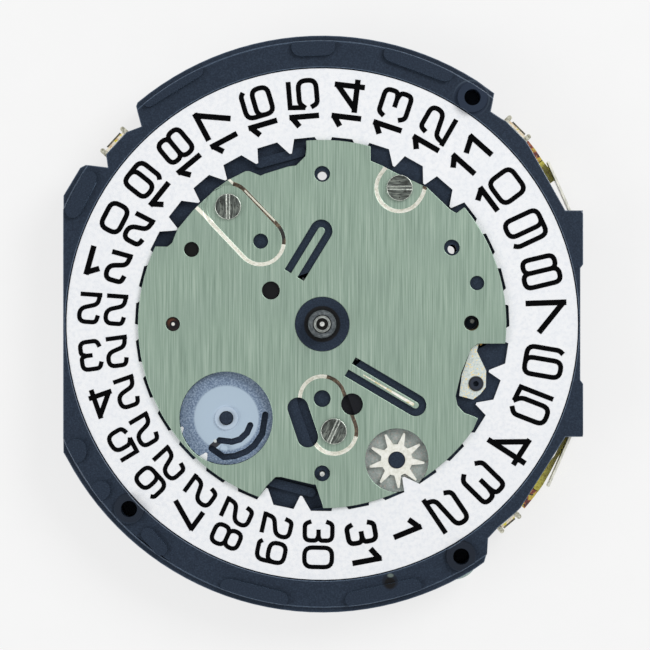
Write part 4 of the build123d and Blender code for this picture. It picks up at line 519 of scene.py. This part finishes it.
finishLooks = {
    "dialSteel": dict(tones=((117, 138, 124), (139, 160, 145), (160, 178, 164)),
        patches=(0.35, 0.25, (130, 148, 138)), marks=plateHighlightMarks, **brushed),
    "backSteel": dict(tones=((131, 153, 148), (154, 175, 169), (175, 193, 188)),
        patches=(0.3, 0.25, (138, 158, 158)), marks=backMarksPaintedHighlights, **brushed),
    "navyDial": dict(tones=((26, 36, 50), (34, 45, 60), (46, 58, 74)), features=14,
        rough=(0.5, 0.68), bump=0.004, specular=0.16, marks=dialMarksPaintedShadeAndLight),
    "navyBack": dict(tones=((28, 40, 66), (37, 52, 82), (49, 64, 97)), features=12,
        rough=(0.5, 0.68), bump=0.004, specular=0.16, marks=underMarksAndPaintedShade),
    "ringWhite": dict(tones=((240, 243, 248), (248, 250, 253), (252, 253, 255)), features=5,
        rough=(0.42, 0.55), bump=0.001, specular=0.3, patches=(0.4, 0.3, (242, 245, 250))),
    "wheelFrost": dict(tones=((92, 112, 138), (118, 138, 164), (150, 168, 190)), features=11,
        spread=0.1, rough=(0.35, 0.55), marks=wheelMarks),
    "filmDark": dict(tones=((14, 11, 12), (22, 18, 19), (36, 29, 26)), features=5, rough=(0.5, 0.7),
        specular=0.12, fades=[((12.35, 0, 0), 0, 0.0, 0.12, 0.9, (168, 128, 46))]),
    "tongueGlint": dict(tones=((206, 190, 120), (240, 238, 226), (252, 251, 244)), features=4,
        metal=0.3, rough=(0.25, 0.4)),
    "clipSteel": dict(tones=((120, 118, 100), (186, 184, 166), (226, 224, 208)), features=(6, 6, 3),
        metal=0.5, rough=(0.25, 0.45)),
    "clipBeige": dict(tones=((214, 176, 120), (238, 222, 196), (250, 244, 226)), features=3,
        metal=0.35, rough=(0.25, 0.45), specks=(4, 0.1, (226, 212, 70))),
    "clipShade": dict(tones=((52, 48, 38), (92, 90, 78), (128, 126, 108)), features=(4, 4, 3),
        metal=0.4, rough=(0.35, 0.5)),
    "filmYellow": dict(tones=((186, 172, 48), (216, 206, 76), (234, 228, 110)), rough=(0.3, 0.45),
        coat=0.3, specks=(5, 0.1, (176, 160, 44))),
    "filmRed": dict(tones=((96, 24, 18), (180, 84, 52), (222, 200, 78)), features=3.2, spread=0.07,
        coat=0.3, specks=(4, 0.12, (30, 16, 14))),
    "postGrey": dict(tones=((62, 66, 62), (82, 86, 80), (108, 112, 104)), metal=0.3,
        rough=(0.4, 0.6)),
    "centreBrass": dict(tones=brassTones, features=(9, 9, 3), metal=0.6, rough=(0.26, 0.42),
        bump=0.002, marks=[disc((0, 0), 0.34, 0.04, (26, 25, 24))]),
    "cannonSteel": dict(tones=((112, 116, 114), (146, 150, 147), (176, 180, 176)),
        features=(6, 6, 18), metal=0.6, rough=(0.3, 0.45), bump=0.001),
    # a paler navy for the rim's broken edges: a painted highlight
    "navyEdgeHighlight": dict(tones=((52, 66, 84), (66, 82, 102), (88, 104, 124)), features=10,
        rough=(0.35, 0.5), specular=0.4),
    "padGold": dict(tones=((176, 150, 38), (214, 194, 60), (236, 222, 104)), features=3, metal=0.2,
        rough=(0.3, 0.45), specks=(3.5, 0.13, (96, 44, 26))),
    "padLine": dict(tones=((40, 20, 16), (70, 34, 24), (110, 60, 36)), rough=(0.4, 0.6)),
    "contactWhite": dict(tones=((238, 243, 247), (248, 251, 253), (254, 255, 255)), features=4,
        metal=0.7, rough=(0.25, 0.4), bump=0.001),
    "contactGrey": dict(tones=((176, 192, 180), (214, 226, 216), (246, 250, 246)), features=1.6,
        spread=0.09, metal=0.6, rough=(0.25, 0.4), bump=0.001),
    "numeralInk": dict(tones=((1, 1, 2), (3, 3, 4), (11, 11, 13)), features=20, rough=(0.6, 0.8),
        bump=0.002, specular=0.03),
    "starWhite": dict(tones=((228, 228, 216), (242, 242, 232), (250, 250, 242)), bump=0.001,
        coat=0.2),
    "frosted": dict(tones=((176, 190, 184), (196, 206, 202), (214, 220, 218)), features=10,
        bump=0.002, clear=0.35, specks=(9, 0.1, (214, 206, 198))),
    "springSteel": dict(tones=((196, 196, 184), (224, 224, 212), (243, 241, 230)),
        features=(10, 1.2, 3), metal=0.6, rough=(0.22, 0.42), bump=0.002),
    "jumperSteel": dict(tones=((186, 196, 192), (206, 214, 210), (222, 228, 224)), features=9,
        metal=0.4, rough=(0.35, 0.5), specks=(9, 0.12, (226, 206, 150)), marks=jumperMarks),
    "paleSteel": dict(tones=((214, 220, 214), (234, 238, 230), (248, 249, 244)),
        features=(10, 0.8, 4), metal=0.25, bump=0.002),
    "pivotSteel": dict(tones=((168, 170, 168), (200, 202, 198), (228, 229, 224)),
        features=(6, 6, 18), metal=0.8, rough=(0.18, 0.32), bump=0.001),
    "pipeDark": dict(tones=((64, 70, 74), (84, 90, 94), (112, 118, 120)), features=(6, 6, 20),
        metal=0.55, rough=(0.3, 0.45), bump=0.001),
    "wheelBrass": dict(tones=brassTones, features=(9, 9, 3), metal=0.75, rough=(0.26, 0.42),
        bump=0.002, patches=(0.8, 0.4, (178, 140, 78)), marks=brassMarks),
    "postBrass": dict(tones=((132, 108, 36), (208, 178, 66), (248, 226, 116)), features=5,
        spread=0.1, metal=0.6, rough=(0.3, 0.55), bump=0.012, specks=(7, 0.13, (84, 66, 26))),
    "magnet": dict(tones=((42, 42, 46), (58, 58, 62), (80, 80, 84)), features=8, metal=0.4,
        rough=(0.4, 0.6)),
    "statorIron": dict(tones=((140, 144, 146), (164, 168, 168), (188, 190, 188)),
        features=(3, 10, 3), metal=0.7, rough=(0.3, 0.45)),
    "formerGrey": dict(tones=((168, 182, 186), (192, 204, 206), (220, 228, 228)), features=7,
        clear=0.15),
    "gold": dict(tones=((176, 160, 52), (216, 202, 78), (236, 226, 122)), features=7, metal=0.45,
        rough=(0.26, 0.45), bump=0.004, specks=(9, 0.12, (160, 138, 44))),
    "chipBlack": dict(tones=((11, 9, 8), (18, 14, 12), (26, 21, 18)), features=12,
        rough=(0.55, 0.75), bump=0.004, specular=0.1),
    # the dishes' walls: a pale painted highlight and a dark painted shade, for each plate
    "dishPaintedHighlight": dict(tones=((214, 212, 196), (238, 236, 222), (248, 247, 238)), metal=0.2,
        bump=0.002),
    "dishPaintedShade": dict(tones=((44, 34, 26), (74, 60, 46), (120, 102, 82)), features=5, metal=0.3,
        rough=(0.4, 0.6), bump=0.002, marks=dishHighlightAndShadeMarks),
    "backPaintedHighlight": dict(tones=((212, 218, 216), (240, 243, 241), (250, 251, 250)), features=4,
        metal=0.15, bump=0.002),
    "backDishPaintedShade": dict(tones=((40, 46, 50), (66, 76, 80), (104, 116, 118)), features=4, metal=0.3,
        rough=(0.4, 0.6), bump=0.002),
    # a pale steel for the screws' broken edges: a painted highlight
    "screwEdgeHighlight": dict(tones=((150, 156, 150), (192, 198, 190), (226, 230, 222)), features=8,
        metal=0.5, rough=(0.25, 0.4), bump=0.001),
    # the first coil's fade darkens its left side: painted shade
    "copperA": dict(tones=copperTones, features=7, metal=0.25, bump=0.002,
        fades=[((-7.9, 1.6, 0), 164, 0.05, 0.62, 0.9, (88, 44, 32))]),
    "copperB": dict(tones=copperTones, features=7, metal=0.25, bump=0.002,
        stripe=((-3.6, -12.78, 0), 74, 0.07, (150, 82, 60))),
    "canSteel": dict(tones=((150, 154, 156), (186, 190, 190), (214, 216, 214)), features=(10, 2, 6),
        metal=0.85, rough=(0.2, 0.35)),
}
finishes = {name: makeFinish(name, **look) for name, look in finishLooks.items()}
print("finishes:", len(finishes))


# Dial side and back plates

# The dishes' sloping walls get a pale painted highlight, and painted shade where they face away
# from the light.
plateLook = {
    "bevel": 0.03, "slopeLow": 0.3, "slopeHigh": 0.97,
    "darkSide": 35.0, "darkReach": 45.0,
    "openEnd": {"right": -4, "below": 5.2, "from": 75, "to": 212},  # of the long dish
    "backDarkSide": 0.0, "backDarkReach": 38.0, "backDarkRight": -6,
    "edgeDish": {"above": -10, "from": -35, "to": 150},  # the two dishes near the edge
}


def slopeSide(normal):
    # which way a dish lies open at this wall: the outward direction, in degrees
    return math.degrees(math.atan2(-normal.y, -normal.x))


def turnBetween(one, other):
    # the angle between two directions, whichever way round is shorter
    return abs((one - other + 180) % 360 - 180)


# a wall gets 1, the pale painted highlight, or 2, painted shade, by the way it faces
def dialSlope(normal, middle):
    if not plateLook["slopeLow"] < normal.z < plateLook["slopeHigh"]:
        return 0
    side = slopeSide(normal)
    # the long dish runs out over the plate's edge at its upper end
    end = plateLook["openEnd"]
    inside = middle[0] < end["right"] and middle[1] > end["below"]
    if inside and end["from"] < side % 360 < end["to"]:
        return 0
    return 2 if turnBetween(side, plateLook["darkSide"]) < plateLook["darkReach"] else 1


# the same for the back plate, whose walls take painted shade on its left part alone
def backSlope(normal, middle):
    if not plateLook["slopeLow"] < -normal.z < plateLook["slopeHigh"]:
        return 0
    side = slopeSide(normal)
    dark = turnBetween(side, plateLook["backDarkSide"]) < plateLook["backDarkReach"]
    if dark and middle[0] < plateLook["backDarkRight"]:
        return 2
    # the dishes near the edge get the pale painted highlight on their inner sides alone
    edge = plateLook["edgeDish"]
    return 0 if middle[1] < edge["above"] and not edge["from"] < side < edge["to"] else 1


softened("calendar_plate", "calendarPlateShell", plateLook["bevel"],
         ("dialSteel", "dishPaintedHighlight", "dishPaintedShade"), "calendar_steel", pick=dialSlope)
# the back plate's broken edges take the pale painted highlight too
softened("back_plate", "backPlateShell", plateLook["bevel"],
         ("backSteel", "backPaintedHighlight", "backDishPaintedShade"), "back_steel", pick=backSlope, edge=1)
print("plates done")


# Date numerals

numeralLook = {
    "low": -0.343, "high": -0.328, "layer": 0.002, "stroke": 0.262, "height": 1.48,
    "fine": 0.236, "firstFine": 22, "lastFine": 30,  # these are printed a little finer
    "bolder": {"1": 1.14, "4": 1.12, "7": 1.16},  # and digits of straight strokes bolder
    "start": 1.9, "day": 7, "step": 360 / 31,  # the seven stands at the stem, at this angle
    # from one radius to another; a leading one is narrow, so its mate is wide
    "tens": (10.60, 11.62), "units": (12.0, 13.04), "ten": (10.62, 11.52),
    "afterTen": (11.65, 13.10), "single": (11.08, 13.02), "lone": (11.42, 12.45),
    "beforeOne": 0.28,  # 11, 21 and 31 stand this much further out
    "apart": 1e-6,  # points nearer than this are one
    "smooth": 30,
}
# each digit's strokes in a box of one by one: whether closed, how far the corners are rounded in
# millimetres, and the corners
digitStrokes = {
    "0": [(True, 0.42, [(0, 0), (1, 0), (1, 1), (0, 1)])],
    "1": [(False, 0, [(0.62, 1.06), (0.62, -0.02)]), (False, 0, [(0.04, 0.72), (0.66, 0.99)])],
    "2": [(False, 0.42, [(0.04, 0.74), (0.13, 1), (1, 1), (1, 0.52), (0.08, 0.34), (0, 0)]),
          (False, 0, [(-0.12, 0), (1, 0)])],
    "3": [(False, 0.4, [(0, 0.77), (0.12, 1), (1, 1), (1, 0.57), (0.8, 0.5), (0.42, 0.5)]),
          (False, 0.4, [(0.74, 0.5), (1, 0.43), (1, 0), (0.12, 0), (0, 0.23)])],
    "4": [(False, 0, [(0.84, -0.02), (0.84, 1.08)]), (False, 0, [(0.86, 1), (0, 0.25)]),
          (False, 0, [(-0.13, 0.26), (1.1, 0.26)])],
    "5": [(False, 0, [(1, 1), (0.04, 1), (0, 0.45)]),
          (False, 0.42, [(-0.02, 0.44), (0.16, 0.65), (1, 0.65), (1, 0), (0.12, 0), (0, 0.24)])],
    "6": [(True, 0.4, [(0, 0), (1, 0), (1, 0.6), (0, 0.6)]),
          (False, 0.42, [(0, 0.3), (0, 1), (0.88, 1), (1, 0.89)])],
    "7": [(False, 0, [(-0.07, 1), (1.06, 1)]), (False, 0, [(1, 1.04), (0.27, -0.07)])],
    "8": [(True, 0.36, [(0.05, 0.52), (0.95, 0.52), (0.95, 1), (0.05, 1)]),
          (True, 0.36, [(0, 0), (1, 0), (1, 0.52), (0, 0.52)])],
}
digitStrokes["9"] = [(closed, corner, [(1 - x, 1 - y) for x, y in path])
                     for closed, corner, path in digitStrokes["6"]]


def digitParts(digit, cell, angle, stroke, shift):
    # the box's width runs out along the radius and its height along the ring, anticlockwise
    look = numeralLook
    inner, outer = cell[0] + shift, cell[1] + shift
    width = stroke * look["bolder"].get(digit, 1.0)
    parts = []
    for layer, (closed, corner, path) in enumerate(digitStrokes[digit]):
        flat = np.array(path, float)
        flat = np.column_stack([inner + flat[:, 0] * (outer - inner),
                                (flat[:, 1] - 0.5) * look["height"]])
        flat = roundedPath(flat, corner, closed=closed)
        keep = np.ones(len(flat), bool)
        keep[1:] = np.linalg.norm(np.diff(flat, axis=0), axis=1) > look["apart"]
        flat = flat[keep]
        placed = flat[:, :1] * polar(angle) + flat[:, 1:] * polar(angle + 90)
        high = look["high"] + layer * look["layer"]  # strokes that cross don't share a top
        parts.append(sweepStrip(placed, width, look["low"], high, closed=closed))
    return parts


def dayParts(day):
    look = numeralLook
    angle = look["start"] + (day - look["day"]) * look["step"]
    stroke = look["fine" if look["firstFine"] <= day <= look["lastFine"] else "stroke"]
    if day < 10:
        return digitParts(str(day), look["lone" if day == 1 else "single"], angle, stroke, 0.0)
    cells = ("ten", "afterTen") if day < 20 else ("tens", "units")
    shift = look["beforeOne"] if day % 10 == 1 else 0.0
    return [part for digit, cell in zip(str(day), cells)
            for part in digitParts(digit, look[cell], angle, stroke, shift)]


points, faces = joined([part for day in range(1, 32) for part in dayParts(day)])
newPiece("dateNumerals", points, faces, nodeBody["date_ring"], "numeralInk", "chip_black",
         numeralLook["smooth"])
print("numerals done")


# Coil windings

windingLook = {
    "width": 1.50, "height": 1.30, "corner": 0.40, "level": -2.75, "pitch": 0.078,
    "in": 0.014, "out": 0.008,  # how far the wire dips and lifts
    "flange": 0.165,  # what the former's flange takes up at each end
    "perTurn": 6, "round": 44, "smooth": 70,
}


def makeWinding(node, piece, start, end, finish):
    # a rounded oblong section carried along the axis; the wire lifts its wall by a cosine of the
    # distance along the axis, moved on by one pitch for each turn round it
    shape = windingLook
    start, end = np.array(start), np.array(end)
    way = unit(end - start)
    start, end = start + way * shape["flange"], end - way * shape["flange"]
    length = np.linalg.norm(end - start)
    side = np.array([-way[1], way[0]])
    w, h, c = shape["width"] / 2, shape["height"] / 2, shape["corner"]
    turn = roundTurn(shape["round"])
    out = np.column_stack([np.cos(turn), np.sin(turn)])
    core = np.sign(np.round(out, 9)) * [w - c, h - c]
    steps = int(length / shape["pitch"] * shape["perTurn"])
    far = np.linspace(0, length, steps + 1)
    wave = np.cos(2 * np.pi * far[:, None] / shape["pitch"] - turn[None, :])
    lift = shape["out"] + (wave - 1) / 2 * (shape["in"] + shape["out"])
    across = core[None, :, :] + out[None, :, :] * (c + lift)[:, :, None]
    flat = start + far[:, None, None] * way + across[:, :, :1] * side
    points = np.concatenate([flat, shape["level"] + across[:, :, 1:]], axis=2).reshape(-1, 3)
    count = shape["round"]
    faces = [f[::-1] for f in gridFaces(steps + 1, count, closeColumns=True)]
    faces += [list(range(count)), [steps * count + i for i in range(count)][::-1]]
    made = newPiece(piece, points, faces, nodeBody[node], finish, "copper", shape["smooth"])
    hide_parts(node)


makeWinding("coil_winding_a", "coilWindingA", (-8.8125, -1.5735), (-6.8425, 5.2821), "copperA")
makeWinding("coil_winding_b", "coilWindingB", (-6.9148, -11.829), (-0.3412, -13.7338), "copperB")
print("windings done")


# Screws

screwLook = {"bevel": 0.03, "reach": 0.75}
screwSteel = dict(tones=((44, 48, 44), (78, 84, 80), (120, 126, 118)), features=(1.6, 9, 9),
                  metal=0.5, bump=0.006, spread=0.12, specks=(6, 0.08, (38, 40, 36)))
screwPlaces = [
    # the CAD node, the screws' name, and each one's place and its slot's direction
    ("dial_screws", "dialScrew", [((4.15, 7.30), 0), ((-5.05, 6.30), 90), ((0.62, -5.75), 65)]),
    ("back_screws", "backScrew", [((-8.03, -3.82), 40), ((1.97, -12.58), 42), ((4.43, 2.50), 60)]),
]
for node, piece, heads in screwPlaces:
    for number, (place, turn) in enumerate(heads):
        steel = piece + "Steel" + str(number + 1)
        finishes[steel] = makeFinish(steel, turn=turn, centre=(*place, 0), **screwSteel)
        # the broken edge of each head takes a pale steel, a painted highlight
        softened(node, piece + str(number + 1), screwLook["bevel"], (steel, "screwEdgeHighlight"),
                 "screw_steel", edge=1, near=(*place, screwLook["reach"]))
print("screws done")


# Moulded plate: navy with a bluer shade on its underside

mouldLook = {"bevel": 0.045, "top": -0.62, "rim": 13.0, "shortest": 0.12, "under": -0.3}


def mouldSide(normal, middle):
    return 1 if normal.z < mouldLook["under"] else 0


def rimEdge(one, other):
    # the long edges of the rim's pads and tabs on the dial side
    return (min(one.z, other.z) > mouldLook["top"] and (one - other).length > mouldLook["shortest"]
            and min(one.xy.length, other.xy.length) > mouldLook["rim"])


# the rim's broken edges take the paler navy, a painted highlight
softened("main_plate", "mainPlateShell", mouldLook["bevel"], ("navyDial", "navyBack", "navyEdgeHighlight"),
         "plate_plastic", pick=mouldSide, edge=2, wanted=rimEdge)
print("moulded plate done")


# Small bent strips: clips at the rim, the flex's edges and the pale parts seen through windows

endReach = 0.985  # a round end stops this share of its half width out, before it closes


def strip(name, path, width, low, high, finish, slot, body="frame", roundStart=False,
          roundEnd=False, steps=6):
    # a bar along a flat path, its width given once or at each point; a round end is a half circle
    # whose width falls as the root of one less the square of the way out
    path = np.array(path, float)
    width = np.broadcast_to(np.asarray(width, float), len(path)).copy()
    out = np.linspace(0, 1, steps + 1)[1:] * endReach
    if roundEnd:
        way = unit(path[-1] - path[-2])
        path = np.concatenate([path, path[-1] + out[:, None] * way * width[-1] / 2])
        width = np.concatenate([width, width[-1] * np.sqrt(1 - out ** 2)])
    if roundStart:
        way = unit(path[0] - path[1])
        path = np.concatenate([(path[0] + out[:, None] * way * width[0] / 2)[::-1], path])
        width = np.concatenate([(width[0] * np.sqrt(1 - out ** 2))[::-1], width])
    return newPiece(name, *sweepStrip(path, width, low, high), body, finish, slot, blendAngle)


clipLook = {
    "low": -2.95, "high": -1.05,
    # a pale band along the face, a lip on it, dark with painted shade, and a tab at each end
    "gap": 0.06, "beige": 0.18, "bandInset": 0.02,
    "shade": 0.12, "lipStart": 0.16, "lipEnd": 0.2, "lipLow": -2.75, "lipHigh": -1.3,
    "tab": 0.26, "tabIn": 0.16, "tabOut": 0.34, "tabHigh": -1.0,
}
clipFaces = [
    # the two ends of each cut face of the rim, anticlockwise, as seen from the dial side
    ("rimClipUpperLeft", (-10.50, 10.30), (-11.60, 9.10)),
    ("rimClipUpperRight", (10.90, 9.85), (9.85, 10.90)),
    ("rimClipLowerRight", (9.45, -10.90), (10.40, -10.10)),
]
for name, start, end in clipFaces:
    shape = clipLook
    start, end = np.array(start), np.array(end)
    length = np.linalg.norm(end - start)
    way = (end - start) / length
    out = np.array([way[1], -way[0]])  # away from the rim
    middle = shape["gap"] + shape["beige"] / 2
    first, last = start + way * shape["bandInset"], end - way * shape["bandInset"]
    strip(name + "Band", [first + out * middle, last + out * middle], shape["beige"], shape["low"],
          shape["high"], "clipBeige", "spring_steel")
    far = middle + shape["beige"] / 2 + shape["shade"] / 2
    lip = [start + way * shape["lipStart"] * length + out * far,
           end - way * shape["lipEnd"] * length + out * far]
    strip(name + "Lip", lip, shape["shade"], shape["lipLow"], shape["lipHigh"], "clipShade",
          "spring_steel")
    for side, place in (("A", first), ("B", last)):
        strip(name + "Tab" + side, [place - out * shape["tabIn"], place + out * shape["tabOut"]],
              shape["tab"], shape["low"], shape["tabHigh"], "clipSteel", "spring_steel",
              roundEnd=True)

# the flex's coloured edges, each with its width at every point
flexLook = {"low": -3.09, "high": -3.015}
flexEdges = [
    ("flexEdgeUpperRed", "filmRed", [(11.12, 10.02), (11.46, 9.44), (11.83, 8.8)],
     [0.22, 0.42, 0.5]),
    ("flexEdgeUpper", "filmYellow", [(11.81, 8.82), (12.2, 8.3), (12.58, 7.77)], [0.52, 0.54, 0.5]),
    ("flexEdgeLower", "filmYellow", [(13.38, -6.15), (13.16, -6.6), (12.78, -7.25),
                                     (12.29, -7.98), (11.84, -8.65), (11.61, -9.06)],
     [0.42, 0.3, 0.2, 0.4, 0.52, 0.42]),
    ("flexEdgeLowerRed", "filmRed", [(11.63, -9.03), (11.4, -9.39), (10.9, -9.95)],
     [0.4, 0.34, 0.4]),
]
for name, finish, path, widths in flexEdges:
    strip(name, path, widths, flexLook["low"], flexLook["high"], finish, "flex_yellow")

# the cell's minus contact: a white leaf that rises and ends in a narrow rounded tongue
leafLook = {
    "root": (1.95, 5.72), "neck": (1.36, 7.68), "tip": (0.88, 8.98), "wide": 0.98, "narrow": 0.56,
    "floor": -1.255, "thick": 0.08, "lift": 0.26,
    "places": (0, 0.2, 0.92, 1), "risen": (0, 0.05, 0.6, 0.72),  # shares of the way and the lift
    "overlap": 0.1, "steps": 7,
}
shape = leafLook
under, over = shape["floor"] - shape["thick"], shape["floor"]
root, neck, tip = (np.array(shape[key]) for key in ("root", "neck", "tip"))
lifted = np.array(shape["risen"]) * shape["lift"]
leafPath = [root + (neck - root) * share for share in shape["places"]]
leafBody = nodeBody["battery_minus_contact"]
leaf = strip("minusContactLeaf", leafPath, shape["wide"], under - lifted, over - lifted,
             "contactWhite", "gold", leafBody)
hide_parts("battery_minus_contact")
lifted = np.array([shape["risen"][-1]] + [1.0] * (shape["steps"] + 1)) * shape["lift"]
way = unit(tip - neck)
strip("minusContactTongue", [neck - way * shape["overlap"], tip], shape["narrow"], under - lifted,
      over - lifted, "contactGrey", "gold", leafBody, roundEnd=True, steps=shape["steps"])

# the glint along the lower tongue of the calendar plate
glintLook = {"path": [(2.2, -2.72), (3.2, -3.31), (4.85, -4.29)], "widths": [0.05, 0.09, 0.17],
             "low": -0.13, "high": -0.092}
strip("tongueGlint", glintLook["path"], glintLook["widths"], glintLook["low"], glintLook["high"],
      "tongueGlint", "calendar_steel", roundEnd=True)

# plugs and posts seen at the bottom of holes in the back plate
plugLook = {"low": -3.825, "high": -3.78, "round": 40}
plugs = [
    ("postLeft", (-12.0, -2.9), 0.60, "postGrey"),
    ("postLeftLow", (-12.0, 3.05), 0.37, "postGrey"),
    ("postRight", (11.55, -1.82), 0.60, "postGrey"),
    ("postRightLow", (11.55, 1.8), 0.37, "postGrey"),
    ("coverPin", (-9.8, -6.7), 0.50, "navyBack"),
    ("coverCentre", (0.62, -5.78), 0.62, "navyBack"),
    ("coverCrystal", (7.05, 5.9), 0.48, "navyBack"),
]
turn = roundTurn(plugLook["round"])
for name, place, radius, finish in plugs:
    rim = np.column_stack([place[0] + radius * np.cos(turn), place[1] + radius * np.sin(turn)])
    flatPiece(name, rim, plugLook["low"], plugLook["high"], finish, "plate_plastic")

# a flat rim that hides the date wheel's teeth: each point lies at one radius and one angle
rimLook = {"place": (-5.15, -5.05), "radius": 2.41, "width": 0.16, "low": -0.618, "high": -0.606,
           "round": 120, "smooth": 30}
turn = roundTurn(rimLook["round"])
rimPath = np.column_stack([np.cos(turn), np.sin(turn)]) * rimLook["radius"] + rimLook["place"]
points, faces = sweepStrip(rimPath, rimLook["width"], rimLook["low"], rimLook["high"], closed=True)
newPiece("dateWheelRim", points, faces, nodeBody["date_driving_wheel"], "wheelFrost",
         "wheel_blue_grey", rimLook["smooth"])

# gilt pads of the flex where the coil wires end, split by dark lines
padLook = {"low": -3.74, "high": -3.70, "line": 0.1, "lineLow": -3.752}
padShapes = [
    ("coilPadA", [(-9.95, -1.75), (-9.98, -2.3), (-9.55, -3.15), (-9.3, -3.25), (-8.3, -2.45),
                  (-8.2, -1.95), (-8.75, -1.8)]),
    ("coilPadB", [(0.2, -14.45), (0.85, -14.45), (1.75, -13.95), (1.8, -13.4), (0.85, -12.75),
                  (0.55, -12.8), (0.3, -13.5)]),
]
padLines = [
    ("padLineA", [(-9.75, -2.62), (-8.55, -2.3)]), ("padLineB", [(0.75, -14.3), (1.05, -12.95)]),
    ("padLineC", [(0.95, -13.55), (1.75, -13.62)]),
]
for name, outline in padShapes:
    flatPiece(name, outline, padLook["low"], padLook["high"], "padGold", "flex_yellow")
for name, path in padLines:
    strip(name, path, padLook["line"], padLook["lineLow"], padLook["high"], "padLine",
          "chip_black")
print("small strips done")


# Finishes of the CAD solids that stay

# each finish with its nodes
solidFinish = {
    "navyDial": "main_plate centre_bush",
    "navyBack": "train_bridge",
    "ringWhite": "date_ring",
    "wheelFrost": "date_driving_wheel",
    "wheelBrass": "date_idler minute_wheel setting_idler setting_wheel third_wheel "
                  "fifth_wheel centre_bridge counter_wheel",
    "starWhite": "date_corrector_star",
    "frosted": "corrector_disc",
    "jumperSteel": "date_jumper",
    "pipeDark": "hour_wheel dial_screws back_screws",
    "cannonSteel": "cannon_pinion",
    "pivotSteel": "second_wheel small_hand_wheel sliding_pinion",
    "centreBrass": "centre_wheel",
    "magnet": "rotor_a rotor_b",
    "statorIron": "stator_a stator_b coil_core_a coil_core_b",
    "formerGrey": "coil_former_a coil_former_b",
    "gold": "coil_terminal_a coil_terminal_b contact_pins",
    "filmDark": "circuit_board",
    "chipBlack": "ic_chip",
    "canSteel": "quartz_crystal",
    "paleSteel": "battery_minus_contact setting_lever",
    "springSteel": "battery_side_spring yoke pusher_spring_upper pusher_spring_lower rim_clips",
    "postBrass": "battery_post",
    "dialSteel": "calendar_plate",
    "backSteel": "back_plate",
    "copperA": "coil_winding_a",
    "copperB": "coil_winding_b",
}
for finish, names in solidFinish.items():
    for name in names.split():
        mesh = nodes[name].data
        mesh.materials.clear()
        mesh.materials.append(finishes[finish])
print("solids finished:", len(" ".join(solidFinish.values()).split()))


# Stage

stageLook = {
    "floorLevel": -4.001, "half": 400.0,
    "features": 0.4, "shade": (232, 232, 232), "tone": (236, 236, 236), "from": 0.3, "to": 0.7,
    "glow": 0.72,  # how far the floor that is seen fades into the white behind it
    "around": 0.42,  # what lights the object from all round
    "behind": 1.0,  # what is seen behind it
}


def most(tree, source, *names):
    # the largest of several outputs of a node
    result = source.outputs[names[0]]
    for name in names[1:]:
        result = worked(tree, "MAXIMUM", result, source.outputs[name])
    return result


half, level = stageLook["half"] * mm, stageLook["floorLevel"] * mm
floorMesh = bpy.data.meshes.new("floor")
floorMesh.from_pydata([(-half, -half, level), (half, -half, level), (half, half, level),
                       (-half, half, level)], [], [(0, 1, 2, 3)])
floor = linked("floor", floorMesh)
floorPaint = bpy.data.materials.new("floorPaint")
floorPaint.use_nodes = True
tree = floorPaint.node_tree
tree.nodes.clear()
coords = addNode(tree, "ShaderNodeTexCoord").outputs["Object"]
paper = ramp(tree, noise(tree, mapped(tree, coords, stageLook["features"])), [
    (stageLook["from"], paint(stageLook["shade"])), (stageLook["to"], paint(stageLook["tone"]))])
matt = addNode(tree, "ShaderNodeBsdfDiffuse", {"Color": paper})
glow = addNode(tree, "ShaderNodeEmission", {"Color": (1, 1, 1, 1)})
rays = addNode(tree, "ShaderNodeLightPath")
seen = most(tree, rays, "Is Camera Ray", "Is Glossy Ray")
share = worked(tree, "MULTIPLY", seen, stageLook["glow"])
top = addNode(tree, "ShaderNodeMixShader", {0: share, 1: matt.outputs[0], 2: glow.outputs[0]})
# the floor is only there from above, and it lets the light from below through
side = addNode(tree, "ShaderNodeNewGeometry")
gone = worked(tree, "MAXIMUM", side.outputs["Backfacing"], rays.outputs["Is Shadow Ray"])
clear = addNode(tree, "ShaderNodeBsdfTransparent")
both = addNode(tree, "ShaderNodeMixShader", {0: gone, 1: top.outputs[0], 2: clear.outputs[0]})
addNode(tree, "ShaderNodeOutputMaterial", {"Surface": both.outputs[0]})
floorMesh.materials.append(floorPaint)

world = bpy.data.worlds.new("studio")
bpy.context.scene.world = world
world.use_nodes = True
tree = world.node_tree
back = tree.nodes["Background"]
seen = most(tree, addNode(tree, "ShaderNodeLightPath"), "Is Camera Ray", "Is Glossy Ray",
            "Is Transmission Ray")
feed(tree, (1, 1, 1, 1), back.inputs["Color"])
feed(tree, fitted(tree, seen, stageLook["around"], stageLook["behind"], 0.0, 1.0),
     back.inputs["Strength"])

lamps = [
    # name, place, size, watts; the first lights the dial side, the second fills, the third the back
    ("softboxUpper", (110, 90, 150), 110, 0.20),
    ("softboxLeft", (-140, -40, 110), 120, 0.10),
    ("softboxBelow", (150, 90, -220), 150, 0.53),
]
for name, spot, size, watts in lamps:
    data = bpy.data.lights.new(name, "AREA")
    data.shape = "DISK"
    data.size = size * mm
    data.energy = watts
    lamp = linked(name, data)
    lamp.location = [c * mm for c in spot]
    lamp.rotation_euler = (-lamp.location).to_track_quat("-Z", "Y").to_euler()

cameraLook = {"lens": 150.0, "distance": 146.0, "aim": (0.15, -0.05, -1.0), "near": 10, "far": 2000}
cameraData = bpy.data.cameras.new("camera")
cameraData.lens = cameraLook["lens"]
cameraData.clip_start = cameraLook["near"] * mm
cameraData.clip_end = cameraLook["far"] * mm
camera = linked("camera", cameraData)
aimX, aimY, aimZ = cameraLook["aim"]
camera.location = (aimX * mm, aimY * mm, (aimZ + cameraLook["distance"]) * mm)
bpy.context.scene.camera = camera
bpy.context.scene.view_settings.view_transform = "Standard"
print("stage done")
